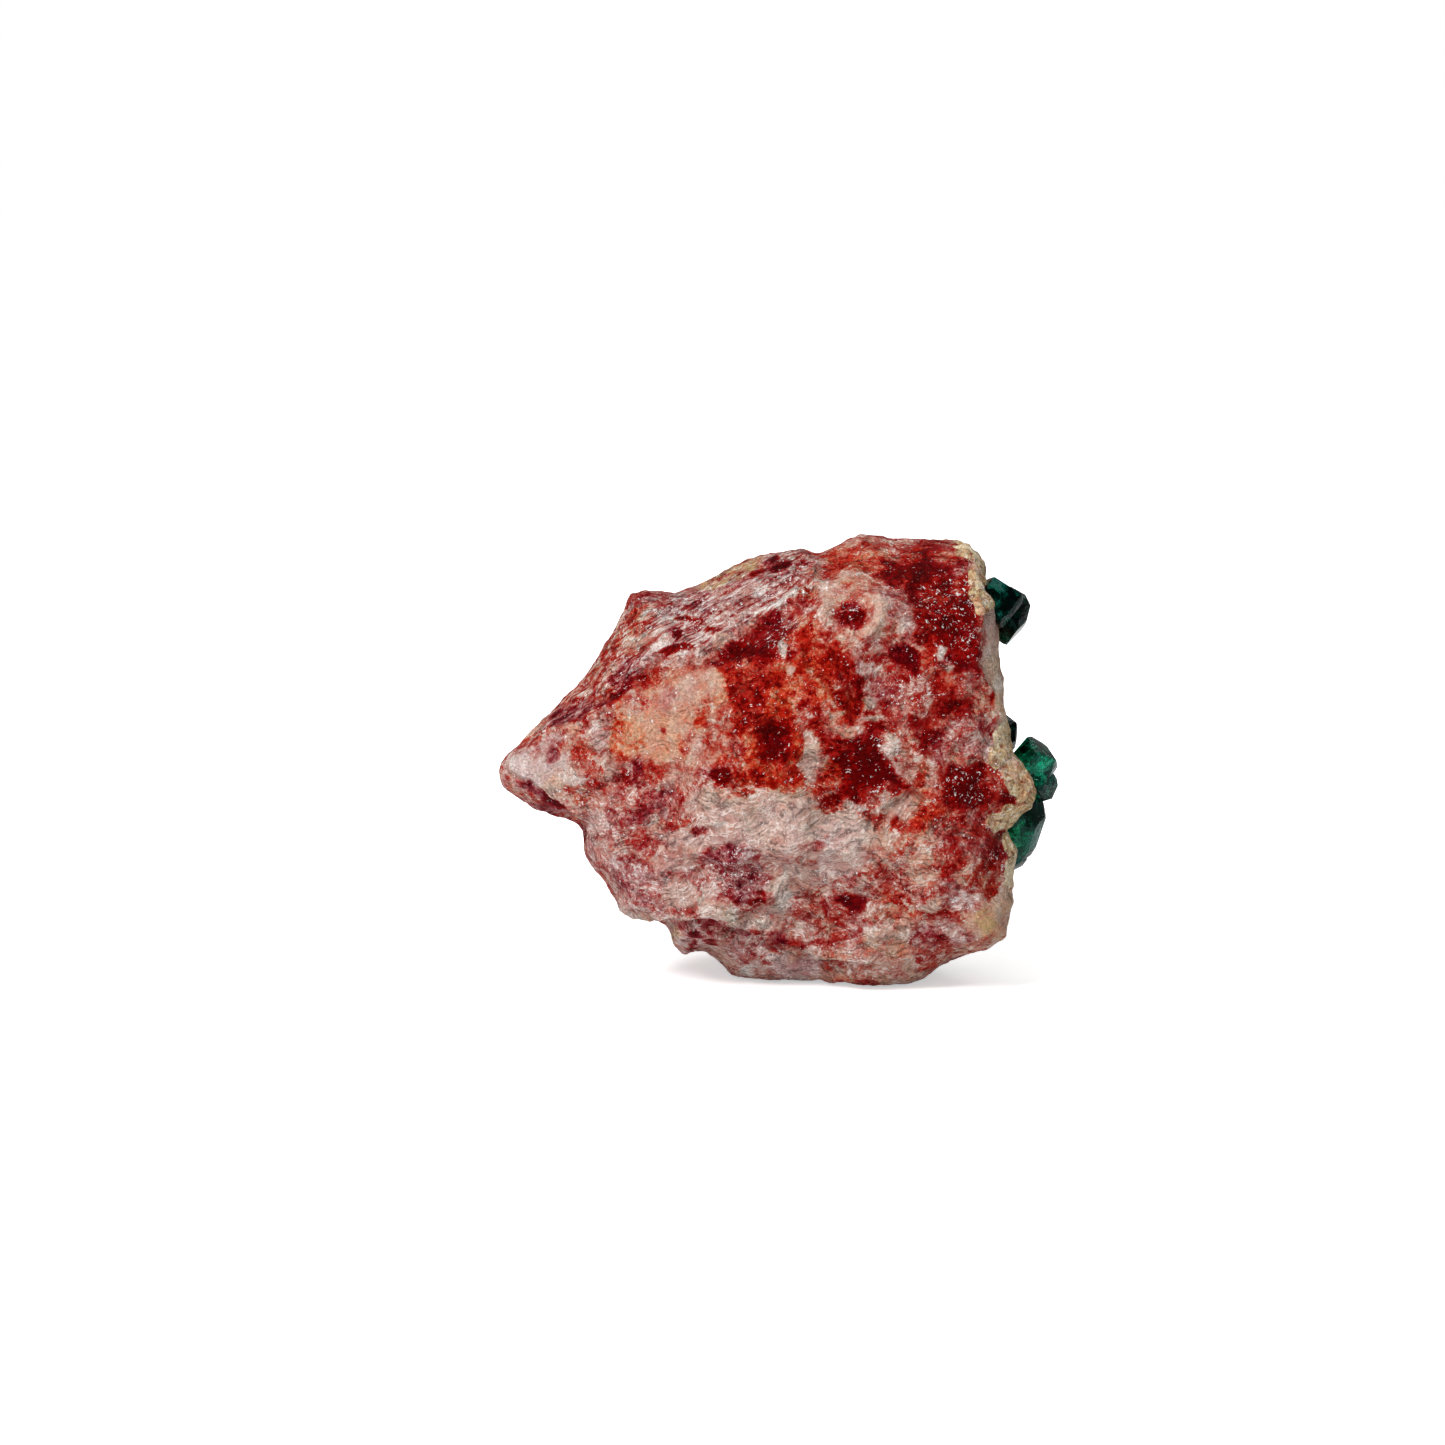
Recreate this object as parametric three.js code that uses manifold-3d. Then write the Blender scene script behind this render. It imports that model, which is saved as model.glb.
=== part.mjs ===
// Dioptase specimen: a broken lump of red-stained calcite matrix that stands on a flat trimmed foot,
// with glassy green dioptase crystals on its right-hand (+X) face.
// Millimetres, +Z up. The origin is the middle of the foot, on the surface that the specimen stands on.
// -Y is the broad stone face, and the crystal face looks towards +X and a little towards +Y.

import * as THREE from "three";
import { ConvexGeometry } from "three/addons/geometries/ConvexGeometry.js";
import { mergeVertices } from "three/addons/utils/BufferGeometryUtils.js";
import Module from "manifold-3d";

const wasm = await Module();
wasm.setup();

// ---------------------------------------------------------------- driving dimensions

const ROCK_DETAIL = 16; // subdivisions of each icosahedron edge: 20 * (detail + 1)^2 triangles
const ROCK_SPREAD = new THREE.Vector3(32, 20, 25); // half sizes that spread the triangles evenly
const ROCK_CENTRE = new THREE.Vector3(-2.3, 3.4, 24.3);
const EDGE_SHARPNESS = 20; // higher is a crisper edge between two broken faces
const CREASE_DEPTH = 3; // how deep a creased roughness cuts in, against how far it stands out

// The rim is where the stone reaches its widest outline.
const RIM_LEAN_DEG = 8; // it leans back from upright by this
const RIM_FORWARD = 0.36; // on the crystal side it comes forward by this share of its radius
const RIM_WIDTH = 0.55; // how far its broad shape holds to each side, as a share of its radius
const RIM_DETAIL_WIDTH = 0.24; // how far its corners and notches hold to each side, in the same way
const RIM_SMOOTH_WIDTH = 0.34; // how far the stone has no bosses to each side, in the same way
const RIM_BROADNESS_DEG = 9; // corners narrower than this belong to the detail
const RIM_LOW_LEANING = 30; // higher draws the stone further in between the rim's corners

const SEAT_GAP = 0.4; // clearance between a crystal's root and the stone, measured from the centre

// The widest outline of the stone, in the leaning plane through the foot: [x, height].
const RIM_OUTLINE = [
  [20.5, 31.6], [20.4, 34], [20.2, 35.8], [19.7, 37.4], [19.7, 39], [19.6, 42], [19.4, 44.2],
  [18.9, 45.6], [18.2, 46.9], [18.5, 48.9], [17.4, 49.8], [13.3, 50.5], [9.5, 50.7],
  [6.8, 51.6], [4.6, 52.2], [2.3, 50.8], [0.2, 49.6],
  [-1.4, 50.6], [-5, 50], [-9.2, 49], [-12.5, 47.2], [-15, 45.8], [-17.5, 45.2], [-20, 45.7],
  [-22.2, 45], [-24.2, 40.5], [-25.8, 37.6], [-27.3, 35], [-31, 32], [-33.9, 28.9], [-36.4, 26.4],
  [-37.4, 24.3], [-36.9, 22.3], [-34.6, 20.5], [-31.3, 18.7], [-29.6, 18.6], [-27.6, 17.6],
  [-27.9, 15.6], [-26.5, 13.2], [-24.4, 10.8], [-22.4, 8.1], [-20.2, 6.9], [-17.9, 6.6],
  [-17.5, 4.4], [-16, 2.8], [-14.4, 2.9], [-12.8, 3.8], [-11.3, 2.2], [-9.8, 0.6], [-6.9, -0.4],
  [0, -0.4], [5, -1.4], [9, 0.2], [12, 1.9], [14.4, 3.6], [18.8, 3.9], [20.9, 5.8], [21.2, 9],
  [21.4, 12.6], [21.9, 14.6], [21.8, 16.4], [20.4, 18.0], [22.0, 19.0], [23.0, 20.1], [24.0, 20.6],
  [24.4, 21.9], [24.0, 23.5], [23.0, 24.8], [22.0, 26.0], [21.4, 27.1], [20.9, 27.9], [21.2, 28.9],
  [20.9, 30.4],
];

// Broken faces of the stone: which way each looks, and how far it lies from ROCK_CENTRE.
const BROKEN_FACES = [
  { looks: [0.04, -1.0, 0.16], reach: 17.0 }, // broad stone face, upper half
  { looks: [-0.02, -0.95, -0.3], reach: 16.8 }, // broad stone face, lower half
  { looks: [-0.42, -0.9, 0.02], reach: 17.6 }, // runs out to the pointed end
  { looks: [-0.42, -0.46, 0.78], reach: 21.4 }, // grooved bevel above the pointed end
  { looks: [-0.7, -0.16, 0.68], reach: 24.2 }, // its lower end
  { looks: [0.1, -0.4, 0.91], reach: 24.7 }, // bevel along the top of the thick end
  { looks: [0.0, 0.12, 1.0], reach: 26.0 }, // top
  { looks: [0.72, -0.1, 0.68], reach: 29.5 }, // top corner by the crystals
  { looks: [0.93, 0.36, 0.04], reach: 18.4 }, // the face that the crystals stand on
  { looks: [0.74, -0.66, 0.02], reach: 23.2 }, // narrow pale bevel beside the crystal face
  { looks: [0.84, 0.1, -0.52], reach: 27.0 }, // under the crystal face
  { looks: [0.8, -0.45, -0.35], reach: 27.8 }, // near corner under the crystal face
  { looks: [0.5, -0.45, -0.74], reach: 28.4 }, // near corner above the foot
  { looks: [-0.05, -0.62, -0.78], reach: 23.5 }, // undercut strip above the foot
  { looks: [-0.75, -0.36, -0.56], reach: 24.6 }, // undercut below the pointed end
  { looks: [0.1, 0.62, -0.78], reach: 24.5 }, // undercut at the back
  { looks: [-0.7, 0.3, -0.64], reach: 25.0 }, // undercut at the back, below the pointed end
  { looks: [-0.12, 0.98, 0.1], reach: 18.5 }, // back
  { looks: [-0.6, 0.8, -0.04], reach: 19.5 }, // back, towards the pointed end
  { looks: [0.1, 0.66, 0.74], reach: 23.6 }, // back, towards the top
  { looks: [-0.52, 0.42, 0.74], reach: 23.8 }, // back, above the pointed end
  { looks: [0.66, 0.74, -0.06], reach: 18.6 }, // corner between the back and the crystal face
];

// Lumps (height over 0) and hollows (height under 0) on the broken faces: centre, radius and height.
const LUMPS = [
  { at: [-34, 0, 25], radius: 3.6, height: 0.9 }, // knob at the pointed end
  { at: [-31, -4, 27], radius: 1.8, height: -0.9 }, // pit beside it
  { at: [-21, -9, 27], radius: 5, height: -0.7 }, // shallow dish near the pointed end
  { at: [-5, -14, 31], radius: 8, height: -1.5 }, // long hollow in the broad face
  { at: [6, -14, 24], radius: 4.6, height: -1.4 }, // deeper end of that hollow
  { at: [4, -13, 42], radius: 4.6, height: 1.1 }, // boss high on the broad face
  { at: [4, -13, 42], radius: 1.8, height: -1.3 }, // dimple in the boss
  { at: [14, -12, 36], radius: 5, height: 0.8 },
  { at: [-8, -13, 20], radius: 6, height: 1.3 }, // swelling below the hollow
  { at: [2, -14, 18], radius: 5, height: 0.9 },
  { at: [-13, -12, 15], radius: 4, height: -0.9 },
  { at: [12, -12, 14], radius: 4.5, height: 0.9 },
  { at: [18, -9, 22], radius: 4, height: 1.2 },
  { at: [-16, -4, 5], radius: 3, height: 0.8 }, // boss low on the undercut
  { at: [5, -9, 1], radius: 3.4, height: 2.6 }, // toe of the foot
  { at: [0, -2, 50], radius: 2.2, height: -1.2 }, // notch in the top
  { at: [-3, -9, 45], radius: 2.6, height: -1.0 },
  { at: [-7, -12, 41], radius: 2.6, height: -0.8 },
  { at: [-19, 2, 44], radius: 3.2, height: 0.9 }, // shoulder above the pointed end
  { at: [-12, 6, 46], radius: 3.4, height: 0.8 },
  { at: [8, 20, 34], radius: 7, height: -1.6 }, // hollow in the back
  { at: [-14, 18, 28], radius: 6, height: 1.4 },
  { at: [-4, 21, 14], radius: 6, height: 1.2 },
  { at: [-22, 10, 26], radius: 5, height: -1.2 },
  { at: [16, 8, 38], radius: 4, height: 0.9 }, // lumps of the pale crust on the crystal face
  { at: [19, 4, 26], radius: 4, height: -0.9 },
  { at: [17, 10, 18], radius: 4, height: 0.9 },
  { at: [19, 2, 10], radius: 3.5, height: 0.8 },
];

// Roughness of the break: size of the lumps, how far they stand out, and whether sharp ridges part them.
const ROUGHNESS = [
  { size: 12, height: 1.0 },
  { size: 7, height: 0.7, creased: true },
  { size: 3.6, height: 0.36, creased: true },
  { size: 2.2, height: 0.22 },
];

// Dioptase habit: a six-sided prism closed at each end by three steep faces. For each set of like faces:
// how many; degrees round the prism to the first one; degrees from the prism's axis to the way it looks;
// and how far out it stands, as a share of half the width added to a share of half the length.
const CRYSTAL_FACES = [
  { count: 6, first: 0, tilt: 90, ofWidth: 1, ofLength: 0 }, // prism
  { count: 6, first: 30, tilt: 90, ofWidth: 1.08, ofLength: 0 }, // narrow faces along its edges
  { count: 3, first: 30, tilt: 51, ofWidth: 0, ofLength: 0.63 }, // upper cap
  { count: 3, first: 90, tilt: 129, ofWidth: 0, ofLength: 0.63 }, // lower cap
  { count: 3, first: 90, tilt: 62, ofWidth: 0.6, ofLength: 0.436 }, // steeper faces below the upper cap
  { count: 3, first: 30, tilt: 118, ofWidth: 0.6, ofLength: 0.436 }, // and above the lower one
];
const UNEVENNESS = 0.12; // how much a face's distance varies, as a share of it

// Crystals by group. at: middle of the crystal; axis: way the prism runs; turn: degrees about it;
// width: across two flat sides; length: from tip to tip.
const CRYSTAL_GROUPS = {
  dioptase_upper_pair: [
    { at: [19.6, -3.0, 44.0], axis: [0.3, -0.25, 0.92], turn: 14, width: 5.3, length: 7.8 },
    { at: [20.7, -1.5, 42.2], axis: [0.2, 0.3, 0.9], turn: 40, width: 4.9, length: 7.0 },
  ],
  dioptase_dark_sliver: [
    { at: [20.5, 0.0, 29.3], axis: [0.1, 0.2, 0.97], turn: 0, width: 3.4, length: 5.4 },
  ],
  dioptase_bright_pair: [
    { at: [24.6, -1.4, 25.9], axis: [0.3, -0.8, 0.45], turn: 20, width: 4.9, length: 6.4 },
    { at: [24.6, -1.4, 23.9], axis: [0.5, -0.3, -0.7], turn: 5, width: 4.0, length: 6.0 },
  ],
  dioptase_low_prism: [
    { at: [22.7, 0.6, 17.8], axis: [0.32, 0.1, 0.93], turn: 28, width: 4.6, length: 9.9 },
  ],
  dioptase_centre_group: [
    { at: [16.3, 11.2, 31.3], axis: [0.6, 0.05, 0.8], turn: 10, width: 6.0, length: 9.6 },
    { at: [14.5, 15.1, 28.6], axis: [0.5, 0.8, 0.34], turn: 35, width: 5.2, length: 8.4 },
    { at: [15.9, 12.4, 25.7], axis: [0.8, 0.25, -0.5], turn: 50, width: 5.0, length: 7.4 },
    { at: [17.7, 8.0, 27.7], axis: [0.75, -0.55, 0.3], turn: 22, width: 3.8, length: 5.8 },
    { at: [12.6, 13.7, 32.3], axis: [0.55, 0.5, 0.7], turn: 44, width: 3.8, length: 6.4 },
  ],
  dioptase_top_group: [
    { at: [14.4, 13.7, 40.4], axis: [0.4, 0.35, 0.85], turn: 18, width: 5.0, length: 8.4 },
    { at: [16.0, 10.5, 39.1], axis: [0.8, -0.2, 0.55], turn: 45, width: 3.8, length: 5.8 },
    { at: [11.8, 15.2, 37.3], axis: [0.5, 0.8, 0.2], turn: 12, width: 3.4, length: 5.4 },
  ],
  dioptase_foot_group: [
    { at: [15.7, 12.5, 16.2], axis: [0.55, 0.3, 0.78], turn: 8, width: 5.0, length: 8.0 },
    { at: [17.7, 8.9, 14.2], axis: [0.85, -0.4, 0.3], turn: 30, width: 4.0, length: 6.0 },
    { at: [12.5, 14.1, 14.7], axis: [0.4, 0.85, -0.2], turn: 55, width: 3.8, length: 5.8 },
  ],
  dioptase_near_single: [
    { at: [17.8, 4.0, 34.7], axis: [0.5, -0.2, 0.84], turn: 26, width: 4.0, length: 6.2 },
  ],
  dioptase_far_pair: [
    { at: [8.5, 18.1, 34.1], axis: [0.3, 0.7, 0.65], turn: 12, width: 4.2, length: 7.2 },
    { at: [7.9, 18.6, 31.8], axis: [0.6, 0.8, -0.1], turn: 38, width: 3.2, length: 5.0 },
  ],
  dioptase_low_single: [
    { at: [20.0, 4.5, 19.4], axis: [0.7, 0.1, 0.7], turn: 48, width: 3.6, length: 5.4 },
  ],
  dioptase_small_pair: [
    { at: [12.1, 17.4, 21.2], axis: [0.6, 0.75, 0.3], turn: 5, width: 3.2, length: 5.0 },
    { at: [11.0, 18.6, 23.1], axis: [0.4, 0.6, 0.7], turn: 33, width: 2.8, length: 4.4 },
  ],
};

// ---------------------------------------------------------------- stone

const rimLean = THREE.MathUtils.degToRad(RIM_LEAN_DEG);
const rimUp = new THREE.Vector3(0, Math.sin(rimLean), Math.cos(rimLean));
const rimNormal = new THREE.Vector3(0, Math.cos(rimLean), -Math.sin(rimLean));
const rimCentre = [ROCK_CENTRE.x, ROCK_CENTRE.dot(rimUp)];
const brokenFaces = BROKEN_FACES.map(({ looks, reach }) => ({
  normal: new THREE.Vector3(...looks).normalize(),
  reach,
}));

// A repeatable number from 0 to 1 for a corner of the noise grid.
function cornerValue(i, j, k) {
  const n = Math.sin(i * 127.1 + j * 311.7 + k * 74.7) * 43758.5453;
  return n - Math.floor(n);
}

// Smooth noise from -1 to 1.
function noise(x, y, z) {
  const [i, j, k] = [x, y, z].map(Math.floor);
  const [u, v, w] = [x - i, y - j, z - k].map((t) => t * t * (3 - 2 * t));
  const mix = THREE.MathUtils.lerp;
  const edge = (dj, dk) => mix(cornerValue(i, j + dj, k + dk), cornerValue(i + 1, j + dj, k + dk), u);
  return 2 * mix(mix(edge(0, 0), edge(1, 0), v), mix(edge(0, 1), edge(1, 1), v), w) - 1;
}

// Distance from ROCK_CENTRE to the outline, at an angle in the leaning plane.
function outlineRadius(angle) {
  const [across, up] = [Math.cos(angle), Math.sin(angle)];
  const corners = RIM_OUTLINE.map(([x, height]) => [x - rimCentre[0], height - rimCentre[1]]);
  for (let n = 0; n < corners.length; n++) {
    const [ax, ay] = corners[n];
    const [bx, by] = corners[(n + 1) % corners.length];
    const turn = across * (by - ay) - up * (bx - ax);
    const distance = (ax * by - ay * bx) / turn;
    const share = (ax * up - ay * across) / turn;
    if (distance > 0 && share >= 0 && share <= 1) return distance;
  }
  throw new Error("the outline doesn't close round its centre");
}

// Distance from ROCK_CENTRE to the broken faces.
function brokenRadius(direction) {
  let sum = 0;
  for (const { normal, reach } of brokenFaces) {
    const facing = normal.dot(direction);
    if (facing > 0) sum += (facing / reach) ** EDGE_SHARPNESS;
  }
  return sum ** (-1 / EDGE_SHARPNESS);
}

// How far the lumps and the roughness stand out at a point of the surface.
function reliefAt(p) {
  let relief = 0;
  for (const { at, radius, height } of LUMPS) {
    const away = p.distanceTo(new THREE.Vector3(...at)) / radius;
    relief += height * Math.exp(-away * away);
  }
  for (const { size, height, creased } of ROUGHNESS) {
    const value = noise(p.x / size, p.y / size, p.z / size);
    relief += height * (creased ? 1 - CREASE_DEPTH * Math.abs(value) : value);
  }
  return relief;
}

// The way from ROCK_CENTRE to the rim, at an angle in the leaning plane. Seen along that plane's normal
// it is one long.
function rimDirection(angle) {
  const across = Math.cos(angle);
  const rim = rimUp.clone().multiplyScalar(Math.sin(angle));
  rim.addScaledVector(rimNormal, -RIM_FORWARD * Math.max(0, across));
  rim.x += across;
  return rim;
}

// How much the rim must grow to meet the outline, for each degree round it.
const rimFits = Array.from({ length: 360 }, (_, degrees) => {
  const angle = THREE.MathUtils.degToRad(degrees);
  const rim = rimDirection(angle);
  return (outlineRadius(angle) * rim.length()) / brokenRadius(rim.normalize());
});

// The same without the narrow corners: a mean that leans towards the smaller values.
const broadRimFits = rimFits.map((_, degrees) => {
  let sum = 0;
  let weights = 0;
  for (let n = -2 * RIM_BROADNESS_DEG; n <= 2 * RIM_BROADNESS_DEG; n++) {
    const weight = Math.exp(-((n / RIM_BROADNESS_DEG) ** 2));
    sum += weight * rimFits[(degrees + n + 360) % 360] ** -RIM_LOW_LEANING;
    weights += weight;
  }
  return (sum / weights) ** (-1 / RIM_LOW_LEANING);
});

function fitAt(fits, angle) {
  const degrees = (THREE.MathUtils.radToDeg(angle) + 360) % 360;
  const n = Math.floor(degrees) % 360;
  return THREE.MathUtils.lerp(fits[n], fits[(n + 1) % 360], degrees - Math.floor(degrees));
}

// Distance from ROCK_CENTRE to the surface: the broken faces, drawn in or out to meet the outline,
// and their relief, which fades out towards the rim so that it doesn't break the outline.
function rockRadius(direction) {
  const across = direction.x;
  const up = direction.dot(rimUp);
  const flat = Math.hypot(across, up);
  if (flat < 1e-6) return brokenRadius(direction);
  const angle = Math.atan2(up, across);
  const broad = fitAt(broadRimFits, angle);
  const detail = fitAt(rimFits, angle) - broad;
  const offRim = (direction.dot(rimNormal) + RIM_FORWARD * Math.max(0, across)) / flat;
  const held = (width) => Math.exp(-((offRim / width) ** 2));
  const fit = 1 + (broad - 1) * held(RIM_WIDTH) + detail * held(RIM_DETAIL_WIDTH);
  const radius = brokenRadius(direction) * fit;
  const relief = reliefAt(direction.clone().multiplyScalar(radius).add(ROCK_CENTRE));
  return radius + relief * (1 - held(relief > 0 ? RIM_SMOOTH_WIDTH : RIM_DETAIL_WIDTH));
}

function rockGeometry(offset) {
  const sphere = new THREE.IcosahedronGeometry(1, ROCK_DETAIL);
  sphere.deleteAttribute("normal");
  sphere.deleteAttribute("uv");
  const geometry = mergeVertices(sphere);
  const position = geometry.attributes.position;
  const direction = new THREE.Vector3();
  for (let n = 0; n < position.count; n++) {
    direction.fromBufferAttribute(position, n).multiply(ROCK_SPREAD).normalize();
    const radius = rockRadius(direction) + offset;
    const floor = direction.z < 0 ? (ROCK_CENTRE.z + offset) / -direction.z : Infinity;
    const onFoot = radius >= floor;
    const p = direction.clone().multiplyScalar(Math.min(radius, floor)).add(ROCK_CENTRE);
    position.setXYZ(n, p.x, p.y, onFoot ? -offset : p.z);
  }
  geometry.computeVertexNormals();
  return geometry;
}

// ---------------------------------------------------------------- crystals

// Every corner where three of the planes meet and no plane cuts it off.
function cornersOf(planes) {
  const corners = [];
  const normals = new THREE.Matrix3();
  planes.forEach((a, i) =>
    planes.slice(i + 1).forEach((b, j) =>
      planes.slice(i + j + 2).forEach((c) => {
        normals.set(...a.normal, ...b.normal, ...c.normal);
        if (Math.abs(normals.determinant()) < 1e-6) return;
        const corner = new THREE.Vector3(a.reach, b.reach, c.reach).applyMatrix3(normals.invert());
        if (planes.every((p) => p.normal.dot(corner) < p.reach + 1e-6)) corners.push(corner);
      }),
    ),
  );
  return corners;
}

function crystalGeometry({ at, axis, turn, width, length }) {
  const upright = new THREE.Vector3(0, 0, 1);
  const planes = [];
  for (const { count, first, tilt, ofWidth, ofLength } of CRYSTAL_FACES)
    for (let n = 0; n < count; n++) {
      const round = THREE.MathUtils.degToRad(first + (n * 360) / count);
      const lean = THREE.MathUtils.degToRad(tilt);
      const uneven = 1 + UNEVENNESS * (cornerValue(planes.length, at[0], at[1]) - 0.5);
      planes.push({
        normal: new THREE.Vector3(Math.sin(lean), 0, Math.cos(lean)).applyAxisAngle(upright, round),
        reach: ((ofWidth * width + ofLength * length) / 2) * uneven,
      });
    }
  const stand = new THREE.Quaternion().setFromUnitVectors(upright, new THREE.Vector3(...axis).normalize());
  const spin = new THREE.Quaternion().setFromAxisAngle(upright, THREE.MathUtils.degToRad(turn));
  const place = new THREE.Matrix4().makeRotationFromQuaternion(stand.multiply(spin)).setPosition(...at);
  return new ConvexGeometry(cornersOf(planes)).applyMatrix4(place);
}

// ---------------------------------------------------------------- solids

function solidOf(geometry) {
  const bare = geometry.clone();
  bare.deleteAttribute("normal");
  bare.deleteAttribute("uv");
  const merged = mergeVertices(bare, 1e-4);
  return new wasm.Manifold(
    new wasm.Mesh({
      numProp: 3,
      vertProperties: merged.attributes.position.array,
      triVerts: new Uint32Array(merged.index.array),
    }),
  );
}

function geometryOf(solid) {
  const { vertProperties, triVerts } = solid.getMesh();
  const geometry = new THREE.BufferGeometry();
  geometry.setAttribute("position", new THREE.BufferAttribute(vertProperties, 3));
  geometry.setIndex(new THREE.BufferAttribute(triVerts, 1));
  geometry.computeVertexNormals();
  return geometry;
}

const stone = new THREE.MeshStandardMaterial({ color: 0xa8574c, roughness: 0.55, metalness: 0 });
const dioptase = new THREE.MeshStandardMaterial({ color: 0x065a48, roughness: 0.08, metalness: 0 });

const specimen = new THREE.Group();

const rock = new THREE.Mesh(rockGeometry(0), stone);
rock.name = "matrix_rock";
specimen.add(rock);

const seat = solidOf(rockGeometry(SEAT_GAP));
for (const [name, crystals] of Object.entries(CRYSTAL_GROUPS)) {
  const grown = crystals.map((c) => solidOf(crystalGeometry(c))).reduce((a, b) => a.add(b));
  const mesh = new THREE.Mesh(geometryOf(grown.subtract(seat)), dioptase);
  mesh.name = name;
  specimen.add(mesh);
}

export default specimen;
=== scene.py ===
"""Dioptase specimen: a broken lump of red-stained calcite with glassy green crystals on one face.

The stone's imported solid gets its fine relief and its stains. The crystals are cut anew in clear green
material, in the places of their solids or close to them. A plain pale studio goes round them. Sizes are
in millimetres and are turned into metres where Blender takes them.
"""

import math

import bpy
import numpy as np
from bpy.props import FloatProperty, FloatVectorProperty, PointerProperty
from mathutils import Matrix, Vector, noise


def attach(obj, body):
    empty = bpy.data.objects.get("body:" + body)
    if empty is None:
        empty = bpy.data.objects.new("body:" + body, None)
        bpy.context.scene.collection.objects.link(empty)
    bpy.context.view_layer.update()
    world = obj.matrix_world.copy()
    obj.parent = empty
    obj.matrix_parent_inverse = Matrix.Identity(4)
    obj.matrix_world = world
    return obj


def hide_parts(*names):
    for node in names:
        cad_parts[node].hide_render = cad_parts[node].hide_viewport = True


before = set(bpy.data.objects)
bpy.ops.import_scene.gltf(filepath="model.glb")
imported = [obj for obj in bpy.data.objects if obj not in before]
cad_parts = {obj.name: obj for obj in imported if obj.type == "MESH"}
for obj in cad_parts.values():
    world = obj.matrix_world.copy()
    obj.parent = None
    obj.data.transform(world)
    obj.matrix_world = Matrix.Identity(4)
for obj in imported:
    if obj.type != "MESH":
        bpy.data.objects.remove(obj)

bl_info = {
    "name": "Dioptase Specimen",
    "version": (1, 0, 0),
    "blender": (4, 5, 0),
    "location": "View3D > Sidebar > Specimen",
    "description": "Builds a red calcite stone with green dioptase crystals, and a studio round it",
    "category": "Add Mesh",
}

MM = 0.001
MIDDLE_GREY = (0.5, 0.5, 0.5)  # the middle of a colour pattern

# ---------------------------------------------------------------- the view that the marks are placed in

PICTURE_SIDE = 1445  # pixels on each side of the rendered picture
MM_PER_PIXEL = 0.11525  # at the middle of the foot
FOOT_PIXEL = (820, 983)  # where the middle of the foot shows
LENS = 100.0
SENSOR = 36.0
VIEW_DOWN_DEG = 8.0

VIEW_UP = Vector((0.0, math.sin(math.radians(VIEW_DOWN_DEG)), math.cos(math.radians(VIEW_DOWN_DEG))))
VIEW_FORWARD = Vector((0.0, VIEW_UP.z, -VIEW_UP.y))


def in_view(across, up):
    """A point of the plane through the foot that faces the camera, from millimetres across and up."""
    return (Vector((across, 0.0, 0.0)) + VIEW_UP * up) * MM


HALF_PICTURE = PICTURE_SIDE / 2
CAMERA_DISTANCE = PICTURE_SIDE * MM_PER_PIXEL * LENS / SENSOR  # to the foot's plane, in millimetres
VIEW_AIM = in_view(
    (HALF_PICTURE - FOOT_PIXEL[0]) * MM_PER_PIXEL,
    (FOOT_PIXEL[1] - HALF_PICTURE) * MM_PER_PIXEL,
)
CAMERA_AT = VIEW_AIM - VIEW_FORWARD * CAMERA_DISTANCE * MM

# ---------------------------------------------------------------- the stone

STONE_NODE = "matrix_rock"
STONE_CENTRE = Vector((-2.3, 3.4, 24.3))
CRYSTAL_FACE_LOOKS = Vector((0.93, 0.36, 0.04)).normalized()
CRUST_STARTS = 17.8  # how far along that way, from the middle of the stone, the pale crust begins
GROOVES_RISE_DEG = 32.0  # slope of the fine grooves on the bevel above the pointed end
NOISE_SEED = 4  # any whole number but 0, which would make every run differ
FOLD_LIMIT = 1.5  # the furthest that a ridge or a hollow moves the surface, in millimetres
FOOT_HEIGHT = 0.12  # whatever lies lower than this is laid on the ground

# How the edges of marks and folds are made ragged: the size of the noise and how far it pushes.
MARK_PUSHES = ((3.2, 0.9), (1.1, 0.42))
FOLD_PUSH = (1.6, 0.35)

# Where a mark has faded out and where it is full, for marks of tone and for the others: shares of its
# half width and half height.
TONE_MARK_EDGE = (1.3, 0.7)
OTHER_MARK_EDGE = (1.25, 0.8)

# The marks and the grooves fade out towards the back, between two places along Y, and the marks also where
# the stone turns away from the camera, between two shares of facing it.
MARKS_END = (10.0, 3.0)
MARKS_TURN = (-0.25, 0.1)
GROOVES_END = (12.0, 6.0)

# The tone and the warmth under the marks, on the side that the camera sees and on the hidden one: the
# middle value, how far clouds change it, and the clouds' size, detail and offset.
SHOWN_TONE = (0.36, 0.20, 6.0, 4, 0.0)
SHOWN_WARMTH = (0.1, 0.5, 9.0, 2, 50.0)
HIDDEN_TONE = (0.42, 0.42, 9.0, 5, 20.0)
HIDDEN_WARMTH = (0.05, 0.8, 12.0, 2, 70.0)
HIDDEN_OCHRE = (8.0, 3, 90.0)  # its clouds' size, detail and offset
HIDDEN_OCHRE_EDGE = (0.35, 0.6)
HIDDEN_GLITTER = 0.35
CRUST_EDGE = 0.8  # half the width of the edge that the crust fades out over
LEAST_WEIGHT = 0.005  # a smaller weight isn't kept

# The foot is paler than its marks say, as painted light on the low part of the stone, which lies in shade;
# the lower left of the broad face is paler than its marks say too.
FOOT_PAINTED_LIGHT = 0.09
FOOT_LIGHT_RISE = (12.0, 2.0)
LOWER_LEFT_PALER = 0.04
LOWER_LEFT_COOLER = 0.3
LOWER_LEFT_RISE = (24.0, 14.0)
LOWER_LEFT_ACROSS = (12.0, 0.0)

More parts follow.
